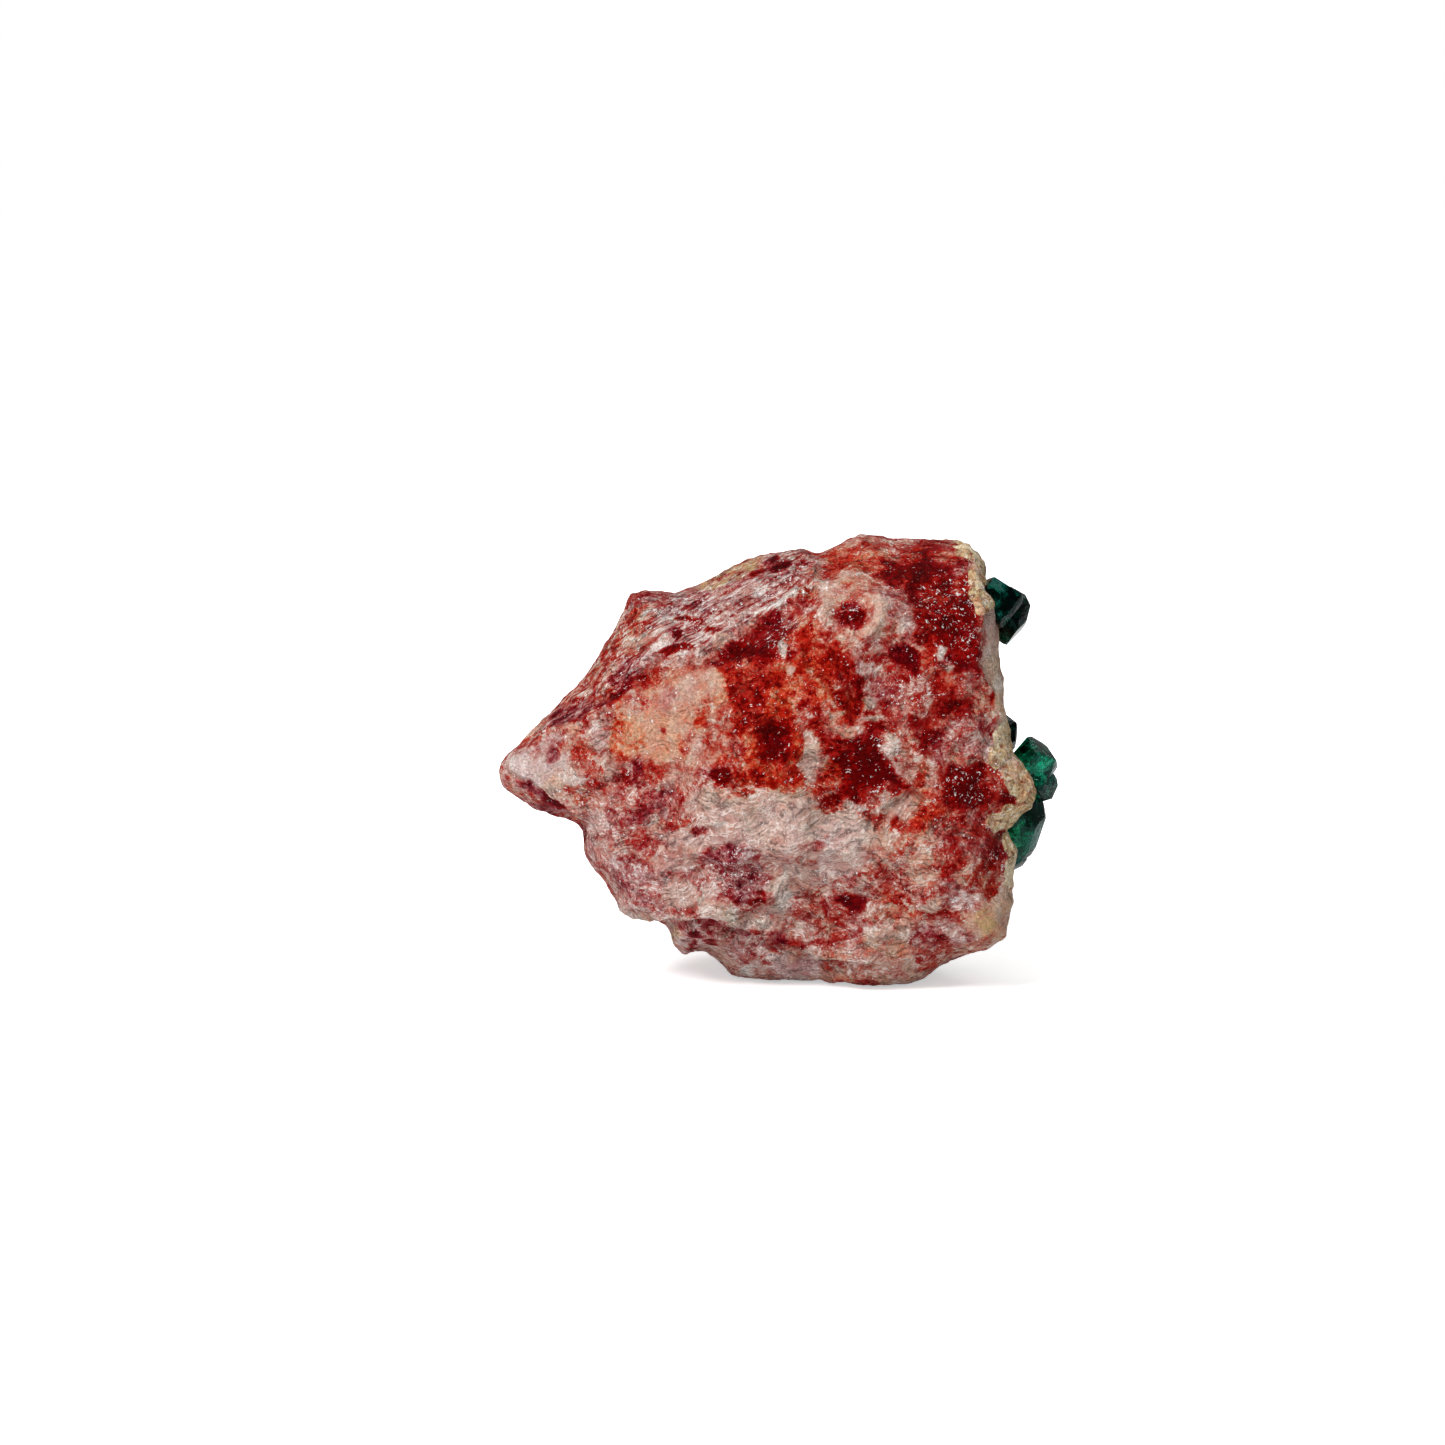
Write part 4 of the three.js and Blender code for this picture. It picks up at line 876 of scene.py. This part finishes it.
def flatten_foot(stone, height):
    """Lays every vertex lower than the height on the ground."""
    only(stone)
    bpy.ops.object.mode_set(mode="EDIT")
    bpy.ops.mesh.select_all(action="DESELECT")
    bpy.ops.object.mode_set(mode="OBJECT")
    for vertex in stone.data.vertices:
        vertex.select = vertex.co.z < height
    bpy.ops.object.mode_set(mode="EDIT")
    bpy.ops.transform.resize(value=(1.0, 1.0, 0.0), center_override=(0.0, 0.0, 0.0))
    bpy.ops.object.mode_set(mode="OBJECT")


def shape_stone(settings):
    """The stone with its chips, ledges, grooves and crumbs."""
    stone = merged_copy(STONE_NODE, "stone")
    remesh = stone.modifiers.new("grain", "REMESH")
    remesh.mode = "VOXEL"
    remesh.voxel_size = settings.grain * MM
    apply_modifier(stone, remesh)
    soften = stone.modifiers.new("soften", "SMOOTH")
    soften.factor = 0.5
    soften.iterations = 6
    apply_modifier(stone, soften)
    mark_stone(stone)
    smooth_places = vertex_places(stone)
    outwards = vertex_normals(stone)
    move_by_weight(stone, "ridges", FOLD_LIMIT)
    move_by_weight(stone, "hollows", -FOLD_LIMIT)
    relief(stone, cell_texture("chips", CHIP_SIZE * MM, (-1.0, 1.0)), settings.chips, "crust", True)
    relief(stone, cloud_texture("swells", SWELL_SIZE * MM, 3), settings.chips * 1.1, "crust", True)
    relief(stone, cell_texture("jags", JAG_SIZE * MM, (-1.0, 1.0)), settings.chips * 0.8, "crust", True)
    relief(stone, cloud_texture("pits", PIT_SIZE * MM), settings.chips * 0.8)
    guide = groove_guide()
    relief(stone, cloud_texture("grooves", 1.0), settings.grooves, "grooved", guide=guide)
    bpy.data.objects.remove(guide)
    relief(stone, cell_texture("crumbs", CRUMB_SIZE * MM, (-1.0, 0.0)), settings.crumbs, "crust")
    relief(stone, cloud_texture("crust_swells", CRUST_SWELL_SIZE * MM), settings.crumbs, "crust")
    note(stone, "proud", np.sum((vertex_places(stone) - smooth_places) * outwards, axis=1))
    flatten_foot(stone, FOOT_HEIGHT * MM)
    only(stone)
    bpy.ops.object.shade_smooth()
    return stone


# ---------------------------------------------------------------- materials: node helper


class Recipe:
    """Adds nodes to a material and links them, a call for each."""

    def __init__(self, name):
        self.material = bpy.data.materials.new(name)
        self.material.use_nodes = True
        self.tree = self.material.node_tree
        self.tree.nodes.clear()
        self.output = self.tree.nodes.new("ShaderNodeOutputMaterial")

    def node(self, kind, inputs=None, **settings):
        """A node with its settings and inputs, where an input is a value or another node's output."""
        node = self.tree.nodes.new(kind)
        for key, value in settings.items():
            setattr(node, key, value)
        for key, value in (inputs or {}).items():
            self.feed(node.inputs[key], value)
        return node

    def feed(self, socket, value):
        """Links another node's output to an input, or gives it a value."""
        if isinstance(value, bpy.types.NodeSocket):
            self.tree.links.new(value, socket)
        else:
            socket.default_value = value

    def maths(self, operation, first, second=0.0, clamp=False):
        node = self.node("ShaderNodeMath", {0: first, 1: second}, operation=operation, use_clamp=clamp)
        return node.outputs[0]

    def plus(self, first, second):
        return self.maths("ADD", first, second)

    def minus(self, first, second):
        return self.maths("SUBTRACT", first, second)

    def times(self, first, second):
        return self.maths("MULTIPLY", first, second)

    def centred(self, pattern):
        """A pattern from 0 to 1, moved to run from -0.5 to 0.5."""
        return self.minus(pattern, 0.5)

    def lines(self, pattern):
        """0 along the winding lines where a pattern is in its middle, more away from them."""
        return self.maths("ABSOLUTE", self.centred(pattern))

    def vector(self, operation, first, second=(0.0, 0.0, 0.0)):
        node = self.node("ShaderNodeVectorMath", {0: first, 1: second}, operation=operation)
        return node.outputs["Value" if operation in ("LENGTH", "DOT_PRODUCT") else "Vector"]

    def scaled(self, vector, factor):
        node = self.node("ShaderNodeVectorMath", {0: vector, "Scale": factor}, operation="SCALE")
        return node.outputs["Vector"]

    def step(self, value, low, high):
        """0 at low, 1 at high, and a smooth rise between them."""
        node = self.node(
            "ShaderNodeMapRange", {"Value": value, "From Min": low, "From Max": high},
            interpolation_type="SMOOTHSTEP",
        )
        return node.outputs["Result"]

    def noted(self, name):
        """What the mesh keeps under a name."""
        return self.node("ShaderNodeAttribute", attribute_name=name).outputs["Fac"]

    def noise(self, place, size, detail=2.0, roughness=0.5, output="Fac"):
        inputs = {"Vector": place, "Scale": 1.0 / (size * MM), "Detail": detail, "Roughness": roughness}
        return self.node("ShaderNodeTexNoise", inputs).outputs[output]

    def cells(self, place, size, feature="F1", output="Distance"):
        inputs = {"Vector": place, "Scale": 1.0 / (size * MM)}
        return self.node("ShaderNodeTexVoronoi", inputs, feature=feature).outputs[output]

    def brightness(self, colour):
        return self.node("ShaderNodeSeparateColor", {"Color": colour}).outputs["Red"]

    def mix(self, share, below, above):
        """The colour above over the colour below, by its share."""
        node = self.node("ShaderNodeMix", data_type="RGBA")
        self.feed(node.inputs["Factor"], share)
        self.feed(node.inputs[6], below)
        self.feed(node.inputs[7], above)
        return node.outputs[2]

    def ramp(self, value, stops):
        """A colour that changes with a value, through stops of (value, colour)."""
        node = self.node("ShaderNodeValToRGB", {"Fac": value})
        while len(node.color_ramp.elements) < len(stops):
            node.color_ramp.elements.new(0.5)
        for element, (at, colour) in zip(node.color_ramp.elements, stops):
            element.position = at
            element.color = opaque(colour)
        return node.outputs["Color"]


def opaque(colour):
    """A colour with full cover."""
    return (*colour[:3], 1.0)


# ---------------------------------------------------------------- stone: material


def stone_material(settings):
    """Mottled calcite, whose tones, warmth, crust and grooves come from what the mesh keeps."""
    recipe = Recipe("stained_calcite")
    place = recipe.node("ShaderNodeTexCoord").outputs["Object"]
    push = recipe.vector("SUBTRACT", recipe.noise(place, RAGGED_SIZE, 4.0, 0.65, "Color"), MIDDLE_GREY)
    ragged = recipe.vector("ADD", place, recipe.scaled(push, RAGGED_REACH * MM))
    grain = recipe.noise(place, GRAIN_SIZE, 4.0, 0.75)
    mottle = recipe.noise(ragged, MOTTLE_SIZE, 6.0, 0.7)
    grains = recipe.brightness(recipe.cells(ragged, GRAINS_SIZE, output="Color"))
    fine_grains = recipe.brightness(recipe.cells(ragged, FINE_GRAINS_SIZE, output="Color"))
    crust = recipe.noted("crust")
    grooved = recipe.noted("grooved")
    proud = recipe.noted("proud")
    glitter = recipe.noted("glitter")

    # Tone and warmth, broken up by the grain.
    tone = recipe.minus(recipe.noted("tone"), settings.paleness)
    stained = recipe.plus(0.35, recipe.times(recipe.step(tone, 0.06, 0.34), 0.65))
    stained = recipe.minus(stained, recipe.times(recipe.step(tone, 0.72, 0.9), 0.25))
    finely = recipe.times(stained, stained)
    for pattern, strength, share in (
        (mottle, 2.0, stained),
        (grain, -0.5, stained),
        (grains, 0.26, finely),
        (fine_grains, 0.24, finely),
    ):
        change = recipe.times(recipe.centred(pattern), strength)
        tone = recipe.plus(tone, recipe.times(change, share))
    warmth = recipe.noted("warmth")
    shift = recipe.centred(recipe.noise(place, WARMTH_SIZE, 4.0, 0.65))
    warmth = recipe.plus(warmth, recipe.times(shift, 2.4))

    # Pale and dark streaks along the grooves of the bevel, partly their own colour and partly painted
    # light and shade, and fine wrinkles elsewhere.
    sway = recipe.vector("SUBTRACT", recipe.noise(place, SWAY_SIZE, 1.0, 0.5, "Color"), MIDDLE_GREY)

    def stretched(rise, size, warp):
        """The place in a pattern that is stretched along the stone and sways."""
        return recipe.node(
            "ShaderNodeMapping",
            {
                "Vector": recipe.vector("ADD", place, recipe.scaled(sway, warp * MM)),
                "Rotation": (0.0, -math.radians(rise), 0.0),
                "Scale": size,
            },
            vector_type="TEXTURE",
        ).outputs["Vector"]

    streaks = recipe.noise(stretched(*STREAKS), 1.0, 4.0, 0.6)
    # Painted shade and light: the tone is darker where the bumped grooves run low and paler on their
    # ridges.
    groove_light_and_shade = recipe.times(recipe.minus(0.5, streaks), recipe.times(grooved, 2.2))
    tone = recipe.plus(tone, groove_light_and_shade)
    wrinkles = recipe.noise(stretched(*WRINKLES), 1.0, 2.0, 0.55)
    creases = recipe.lines(wrinkles)
    fine_wrinkles = recipe.noise(stretched(*FINE_WRINKLES), 1.0, 2.0, 0.55)
    fine_creases = recipe.lines(fine_wrinkles)

    # Painted shade and painted light: the tone is darker in the hollows of the relief and paler on its
    # high points.
    tone = recipe.plus(tone, recipe.times(recipe.step(proud, 0.0, -0.9), 0.16))
    tone = recipe.plus(tone, recipe.times(recipe.step(proud, 0.1, 0.9), -0.14))

    def toned(colours):
        """The colour of the tone, from a row of colours for TONES."""
        share = recipe.node(
            "ShaderNodeMapRange", {"Value": tone, "From Min": TONES[0], "From Max": TONES[-1]}
        ).outputs["Result"]
        spread = TONES[-1] - TONES[0]
        stops = [((at - TONES[0]) / spread, colour) for at, colour in zip(TONES, colours)]
        return recipe.ramp(share, stops)

    cool = recipe.maths("MULTIPLY", warmth, -1.0, clamp=True)
    warm = recipe.maths("MULTIPLY", warmth, 1.0, clamp=True)
    colour = recipe.mix(cool, toned(PLAIN), toned(COOL))
    colour = recipe.mix(warm, colour, toned(WARM))

    # Yellow stains, and the pale crust that the crystals stand on.
    crumbs = recipe.noise(ragged, CRUMB_COLOUR_SIZE, 5.0, 0.8)
    ochre = recipe.times(recipe.noted("ochre"), recipe.step(mottle, 0.62, 0.42))
    colour = recipe.mix(recipe.times(ochre, 0.8), colour, opaque(settings.ochre))
    crumb_tone = recipe.plus(crumbs, recipe.times(recipe.centred(grains), 0.16))
    # The palest crust stop stands for glints painted on the crumbs.
    stops = (*CRUST_HOLLOWS, (CRUST_MIDDLE, settings.crust), *CRUST_CRUMBS_AND_GLINTS)
    crust_colour = recipe.ramp(crumb_tone, stops)
    broad = recipe.noise(place, CRUST_PATCH_SIZE, 3.0, 0.6)
    rosy = recipe.times(recipe.step(broad, 0.54, 0.64), 0.6)
    crust_colour = recipe.mix(rosy, crust_colour, ROSY_CRUST)
    pale = recipe.times(recipe.step(broad, 0.46, 0.36), 0.6)
    crust_colour = recipe.mix(pale, crust_colour, PALE_CRUST)
    cover = recipe.step(recipe.plus(crust, recipe.centred(mottle)), 0.35, 0.6)
    colour = recipe.mix(recipe.times(cover, 0.92), colour, crust_colour)

    # Fine random shading that keeps the hue, with painted shade as dark lines in the creases of the
    # wrinkles and painted highlights as pale lines along the fine wrinkles.
    speckle = recipe.noise(place, SPECKLE_SIZE, 2.0, 0.6)
    shading = recipe.plus(0.92, recipe.times(recipe.centred(speckle), 1.3))
    wrinkled = recipe.noise(place, WRINKLED_SIZE)
    plain = recipe.minus(1.0, recipe.noted("waxy"))
    # Painted shade: dark lines in the creases of the wrinkles, where the bump runs low.
    cracks = recipe.times(recipe.step(creases, 0.06, 0.02), recipe.step(wrinkled, 0.44, 0.58))
    cracks = recipe.times(cracks, plain)
    shading = recipe.minus(shading, recipe.times(cracks, 0.42))
    colour = recipe.scaled(colour, shading)
    # Painted highlights: pale lines along the fine wrinkles, where the bump stands high.
    edges = recipe.times(recipe.step(fine_creases, 0.048, 0.02), recipe.step(wrinkled, 0.56, 0.44))
    edges = recipe.times(edges, recipe.times(recipe.step(tone, 0.52, 0.20), plain))
    colour = recipe.mix(recipe.times(edges, 0.50), colour, PAINTED_EDGE_HIGHLIGHTS)

    # Fine white ticks painted as glints, where small cleavage edges would catch the light.
    def ticks(lines, patch_size, width):
        """Painted glints: ticks along some lines, of a width and in patches of a size."""
        patches = recipe.noise(place, patch_size, 3.0, 0.7)
        patches = recipe.plus(patches, recipe.times(glitter, GLINT_TICK_GLITTER))
        return recipe.times(recipe.step(lines, width, width * 0.4), recipe.step(patches, *GLINT_TICK_PATCHES))

    def bends(size):
        """Bent lines, as far apart as the size."""
        return recipe.lines(recipe.noise(ragged, size, 1.0))

    marks = recipe.maths("MAXIMUM", ticks(bends(1.2), 0.6, 0.030), ticks(bends(0.7), 0.4, 0.040))
    marks = recipe.maths("MAXIMUM", marks, ticks(fine_creases, 0.6, 0.032))
    scratches = recipe.lines(streaks)
    marks = recipe.maths("MAXIMUM", marks, recipe.times(ticks(scratches, 1.2, 0.040), grooved))
    # Painted glints: the ticks are painted white into the colour.
    colour = recipe.mix(recipe.times(marks, 0.9), colour, PAINTED_GLINT_TICKS)

    # The finest relief, as bump only.
    height = recipe.times(grain, 0.8)
    ridges = recipe.times(recipe.maths("MINIMUM", creases, 0.12), recipe.minus(1.0, crust))
    for pattern, strength in (
        (marks, 0.15),
        (mottle, 1.5),
        (grains, 0.35),
        (fine_grains, 0.22),
        (ridges, 3.0),
        (recipe.maths("MAXIMUM", recipe.minus(0.12, fine_creases), 0.0), 2.0),
        (recipe.times(streaks, grooved), 1.5),
    ):
        height = recipe.plus(height, recipe.times(pattern, strength))
    bump = recipe.node("ShaderNodeBump", {"Height": height, "Strength": 1.0, "Distance": 0.5 * MM})
    roughness = recipe.plus(0.16, recipe.times(recipe.noise(place, GLOSS_SIZE, 3.0), 0.3))
    shader = recipe.node(
        "ShaderNodeBsdfPrincipled",
        {
            "Base Color": colour,
            "Roughness": roughness,
            "Normal": bump.outputs["Normal"],
            "IOR": CALCITE_IOR,
            "Specular IOR Level": 0.02,
        },
    )
    recipe.feed(recipe.output.inputs["Surface"], shader.outputs[0])
    return recipe.material


# ---------------------------------------------------------------- crystals


def scatter(i, j, k):
    """A repeatable number from 0 to 1."""
    n = math.sin(i * 127.1 + j * 311.7 + k * 74.7) * 43758.5453
    return n - math.floor(n)


def crystal_planes(at, axis, turn, width, length):
    """The faces of a crystal: how far each lies from its middle and which way it looks, in the world."""
    stand = Vector((0.0, 0.0, 1.0)).rotation_difference(Vector(axis).normalized()).to_matrix()
    spin = Matrix.Rotation(math.radians(turn), 3, "Z")
    planes = []
    for count, first, tilt, of_width, of_length in CRYSTAL_FACES:
        lean = Vector((math.sin(math.radians(tilt)), 0.0, math.cos(math.radians(tilt))))
        for n in range(count):
            uneven = 1.0 + UNEVENNESS * (scatter(len(planes), at[0], at[1]) - 0.5)
            reach = (of_width * width + of_length * length) / 2 * uneven
            looks = Matrix.Rotation(math.radians(first + n * 360.0 / count), 3, "Z") @ lean
            planes.append((reach * MM, stand @ spin @ looks))
    return planes


def mend(piece):
    """Takes out the slivers that cutting leaves, and makes each flat face one face."""
    only(piece)
    bpy.ops.object.mode_set(mode="EDIT")
    bpy.ops.mesh.select_all(action="SELECT")
    bpy.ops.mesh.remove_doubles(threshold=LEAST_EDGE * MM)
    bpy.ops.mesh.dissolve_degenerate(threshold=LEAST_EDGE * MM)
    bpy.ops.mesh.dissolve_limited(angle_limit=math.radians(FLAT_WITHIN_DEG))
    bpy.ops.mesh.normals_make_consistent(inside=False)
    bpy.ops.object.mode_set(mode="OBJECT")


def cut_away(point, looks):
    """In edit mode, takes off all that lies beyond a plane, and closes the cut."""
    bpy.ops.mesh.select_all(action="SELECT")
    bpy.ops.mesh.bisect(plane_co=point, plane_no=looks, use_fill=True, clear_outer=True)


def cut_crystal(name, at, axis, turn, width, length):
    """One crystal, cut from a block plane by plane."""
    middle = Vector(at) * MM
    bpy.ops.object.select_all(action="DESELECT")
    bpy.ops.mesh.primitive_cube_add(size=3 * length * MM, location=middle)
    crystal = bpy.context.object
    crystal.name = name
    bpy.ops.object.transform_apply(location=True, rotation=True, scale=True)
    bpy.ops.object.mode_set(mode="EDIT")
    for reach, looks in crystal_planes(at, axis, turn, width, length):
        cut_away(middle + looks * reach, looks)
    bpy.ops.object.mode_set(mode="OBJECT")
    corners = [vertex.co - middle for vertex in crystal.data.vertices]
    bpy.ops.object.mode_set(mode="EDIT")
    least, more = CHIPPED_TO
    for n in range(CHIPS):
        height = 2.0 * scatter(n, at[1], at[2]) - 1.0
        round_by = math.tau * scatter(n, at[2], at[0])
        flat = math.sqrt(1.0 - height * height)
        looks = Vector((flat * math.cos(round_by), flat * math.sin(round_by), height))
        reach = max(corner.dot(looks) for corner in corners) * (least + more * scatter(n, at[0], at[2]))
        cut_away(middle + looks * reach, looks)
    bpy.ops.mesh.select_all(action="SELECT")
    bpy.ops.mesh.remove_doubles(threshold=LEAST_EDGE * MM)
    bpy.ops.mesh.convex_hull(use_existing_faces=False, join_triangles=False)
    bpy.ops.object.mode_set(mode="OBJECT")
    mend(crystal)
    return crystal


def grow_group(name, crystals, edge):
    """The crystals of a group, grown into one, with slightly worn edges."""
    grown = None
    for n, crystal in enumerate(crystals):
        piece = cut_crystal(name if n == 0 else f"{name}_{n}", *crystal)
        if grown is None:
            grown = piece
            continue
        join = grown.modifiers.new("join", "BOOLEAN")
        join.operation = "UNION"
        join.solver = "EXACT"
        join.object = piece
        apply_modifier(grown, join)
        bpy.data.objects.remove(piece)
        mend(grown)
    wear = grown.modifiers.new("wear", "BEVEL")
    wear.width = edge * MM
    wear.segments = 2
    wear.limit_method = "ANGLE"
    wear.angle_limit = math.radians(WORN_FROM_DEG)
    apply_modifier(grown, wear)
    only(grown)
    bpy.ops.object.mode_set(mode="EDIT")
    bpy.ops.mesh.select_all(action="SELECT")
    bpy.ops.mesh.fill_holes(sides=8)
    bpy.ops.object.mode_set(mode="OBJECT")
    bpy.ops.object.shade_smooth_by_angle(angle=math.radians(SMOOTH_TO_DEG))
    return grown


def crystal_material(settings, name, depth, lightness, shine, band):
    """Clear green crystal with cracks and healed fractures inside, to one of the looks."""
    recipe = Recipe(name)
    place = recipe.node("ShaderNodeTexCoord").outputs["Object"]
    push = recipe.vector("SUBTRACT", recipe.noise(place, 1.2, 3.0, 0.6, "Color"), MIDDLE_GREY)
    ragged = recipe.vector("ADD", place, recipe.scaled(push, 1.2 * MM))
    veils = recipe.noise(ragged, 0.9, 4.0, 0.7)
    waves = recipe.noise(place, 1.4, 3.0, 0.6)
    chips = recipe.cells(ragged, 0.6)

    # The fractures, as patches from near black to bright, and painted lighter in the look's band, as
    # painted light.
    patches = recipe.brightness(recipe.cells(ragged, 1.0, output="Color"))
    share = recipe.plus(0.20 + lightness, recipe.times(patches, 0.6))
    band_height, half_width, painted_light_lift = band
    rise = recipe.node("ShaderNodeSeparateXYZ", {"Vector": place}).outputs["Z"]
    away = recipe.maths("ABSOLUTE", recipe.minus(rise, band_height * MM))
    share = recipe.plus(share, recipe.times(recipe.step(away, half_width * MM, 0.0), painted_light_lift))
    share = recipe.plus(share, recipe.times(recipe.centred(veils), 1.8))
    colour = recipe.ramp(share, GREENS)
    height = recipe.plus(waves, recipe.times(chips, 0.35))
    bump = recipe.node("ShaderNodeBump", {"Height": height, "Strength": 1.0, "Distance": 0.16 * MM})
    shader = recipe.node(
        "ShaderNodeBsdfPrincipled",
        {
            "Base Color": colour,
            "Roughness": 0.05,
            "IOR": DIOPTASE_IOR,
            "Specular Tint": opaque([tint * shine for tint in SHINE_TINT]),
            "Transmission Weight": 0.94,
            "Normal": bump.outputs["Normal"],
        },
    )
    absorption = recipe.node(
        "ShaderNodeVolumeAbsorption",
        {"Color": opaque(settings.depth_colour), "Density": settings.depth * depth},
    )
    recipe.feed(recipe.output.inputs["Surface"], shader.outputs[0])
    recipe.feed(recipe.output.inputs["Volume"], absorption.outputs[0])
    return recipe.material


# ---------------------------------------------------------------- studio


def area_light(name, at, size, power):
    """A round soft light that looks at the specimen."""
    light = bpy.data.lights.new(name, "AREA")
    light.shape = "DISK"
    light.size = size
    light.energy = power
    lamp = bpy.data.objects.new(name, light)
    lamp.location = Vector(at)
    lamp.rotation_euler = (Vector(LIGHTS_AIM) - lamp.location).to_track_quat("-Z", "Y").to_euler()
    bpy.context.scene.collection.objects.link(lamp)


def floor_material():
    """A matt white floor that looks brighter away from the specimen, to run into the white surround."""
    recipe = Recipe("pale_floor")
    place = recipe.node("ShaderNodeTexCoord").outputs["Object"]
    away = recipe.vector("LENGTH", place)
    looked_at = recipe.node("ShaderNodeLightPath").outputs["Is Camera Ray"]
    glow = recipe.times(recipe.step(away, 0.0, 0.16), 0.6)
    glow = recipe.times(recipe.plus(glow, 0.5), looked_at)
    shader = recipe.node(
        "ShaderNodeBsdfPrincipled",
        {
            "Base Color": (0.9, 0.9, 0.9, 1.0),
            "Roughness": 0.7,
            "Emission Color": WHITE,
            "Emission Strength": glow,
        },
    )
    recipe.feed(recipe.output.inputs["Surface"], shader.outputs[0])
    return recipe.material


def light_world(ambient):
    """A white surround to look at, which gives only a little light of its own."""
    world = bpy.data.worlds.new("studio")
    bpy.context.scene.world = world
    world.use_nodes = True
    nodes = world.node_tree.nodes
    links = world.node_tree.links
    nodes.clear()
    seen = nodes.new("ShaderNodeBackground")
    seen.inputs["Color"].default_value = WHITE
    given = nodes.new("ShaderNodeBackground")
    given.inputs["Color"].default_value = WHITE
    given.inputs["Strength"].default_value = ambient
    choose = nodes.new("ShaderNodeMixShader")
    rays = nodes.new("ShaderNodeLightPath")
    output = nodes.new("ShaderNodeOutputWorld")
    links.new(rays.outputs["Is Camera Ray"], choose.inputs["Fac"])
    links.new(given.outputs[0], choose.inputs[1])
    links.new(seen.outputs[0], choose.inputs[2])
    links.new(choose.outputs[0], output.inputs["Surface"])


# ---------------------------------------------------------------- operators


class SPECIMEN_OT_stone(bpy.types.Operator):
    """Model the stone with its relief, and give it its stains"""

    bl_idname = "specimen.stone"
    bl_label = "Stone"
    bl_options = {"REGISTER", "UNDO"}

    def execute(self, context):
        settings = context.scene.specimen_stone
        stone = shape_stone(settings)
        stone.data.materials.append(stone_material(settings))
        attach(stone, "root")
        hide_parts(STONE_NODE)
        return {"FINISHED"}


class SPECIMEN_OT_crystals(bpy.types.Operator):
    """Cut the dioptase crystals and join those that are grown together"""

    bl_idname = "specimen.crystals"
    bl_label = "Crystals"
    bl_options = {"REGISTER", "UNDO"}

    def execute(self, context):
        settings = context.scene.specimen_crystals
        usual = crystal_material(settings, "clear_green_dioptase", *USUAL_LOOK)
        for node, crystals in CRYSTALS.items():
            material = usual
            if node in LOOKS:
                material = crystal_material(settings, f"green_of_{node}", *LOOKS[node])
            group = grow_group(f"clear_{node}", crystals, settings.edge)
            group.data.materials.clear()
            group.data.materials.append(material)
            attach(group, "root")
            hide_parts(node)
        return {"FINISHED"}


class SPECIMEN_OT_studio(bpy.types.Operator):
    """Lay the floor, and set up the lights and the camera"""

    bl_idname = "specimen.studio"
    bl_label = "Studio"
    bl_options = {"REGISTER", "UNDO"}

    def execute(self, context):
        settings = context.scene.specimen_studio
        bpy.ops.object.select_all(action="DESELECT")
        bpy.ops.mesh.primitive_circle_add(vertices=96, radius=FLOOR_RADIUS, fill_type="NGON")
        floor = context.object
        floor.name = "floor"
        floor.data.materials.append(floor_material())
        light_world(settings.ambient)
        for name, (at, size) in LIGHTS.items():
            area_light(name, at, size, getattr(settings, name))
        camera = bpy.data.cameras.new("camera")
        camera.lens = LENS
        camera.sensor_width = SENSOR
        camera.clip_start = 0.01
        camera.clip_end = 50.0
        holder = bpy.data.objects.new("camera", camera)
        holder.location = CAMERA_AT
        holder.rotation_euler = VIEW_FORWARD.to_track_quat("-Z", "Y").to_euler()
        context.scene.collection.objects.link(holder)
        context.scene.camera = holder
        context.scene.view_settings.view_transform = "Standard"
        return {"FINISHED"}


class SPECIMEN_PT_panel(bpy.types.Panel):
    """Lists the settings and the steps that build the specimen"""

    bl_label = "Specimen"
    bl_idname = "SPECIMEN_PT_panel"
    bl_space_type = "VIEW_3D"
    bl_region_type = "UI"
    bl_category = "Specimen"

    def draw(self, context):
        scene = context.scene
        for operator, settings in (
            (SPECIMEN_OT_stone, scene.specimen_stone),
            (SPECIMEN_OT_crystals, scene.specimen_crystals),
            (SPECIMEN_OT_studio, scene.specimen_studio),
        ):
            box = self.layout.box()
            for name in settings.__annotations__:
                box.prop(settings, name)
            box.operator(operator.bl_idname)


CLASSES = (
    StoneSettings,
    CrystalSettings,
    StudioSettings,
    SPECIMEN_OT_stone,
    SPECIMEN_OT_crystals,
    SPECIMEN_OT_studio,
    SPECIMEN_PT_panel,
)


def register():
    """Makes the operators, the panel and the settings known to Blender."""
    for cls in CLASSES:
        bpy.utils.register_class(cls)
    bpy.types.Scene.specimen_stone = PointerProperty(type=StoneSettings)
    bpy.types.Scene.specimen_crystals = PointerProperty(type=CrystalSettings)
    bpy.types.Scene.specimen_studio = PointerProperty(type=StudioSettings)


def unregister():
    """Takes them out again."""
    del bpy.types.Scene.specimen_studio
    del bpy.types.Scene.specimen_crystals
    del bpy.types.Scene.specimen_stone
    for cls in reversed(CLASSES):
        bpy.utils.unregister_class(cls)


def main():
    """Builds the studio, the stone and the crystals."""
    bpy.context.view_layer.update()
    register()
    bpy.ops.specimen.studio()
    bpy.ops.specimen.stone()
    bpy.ops.specimen.crystals()


if __name__ == "__main__":
    main()
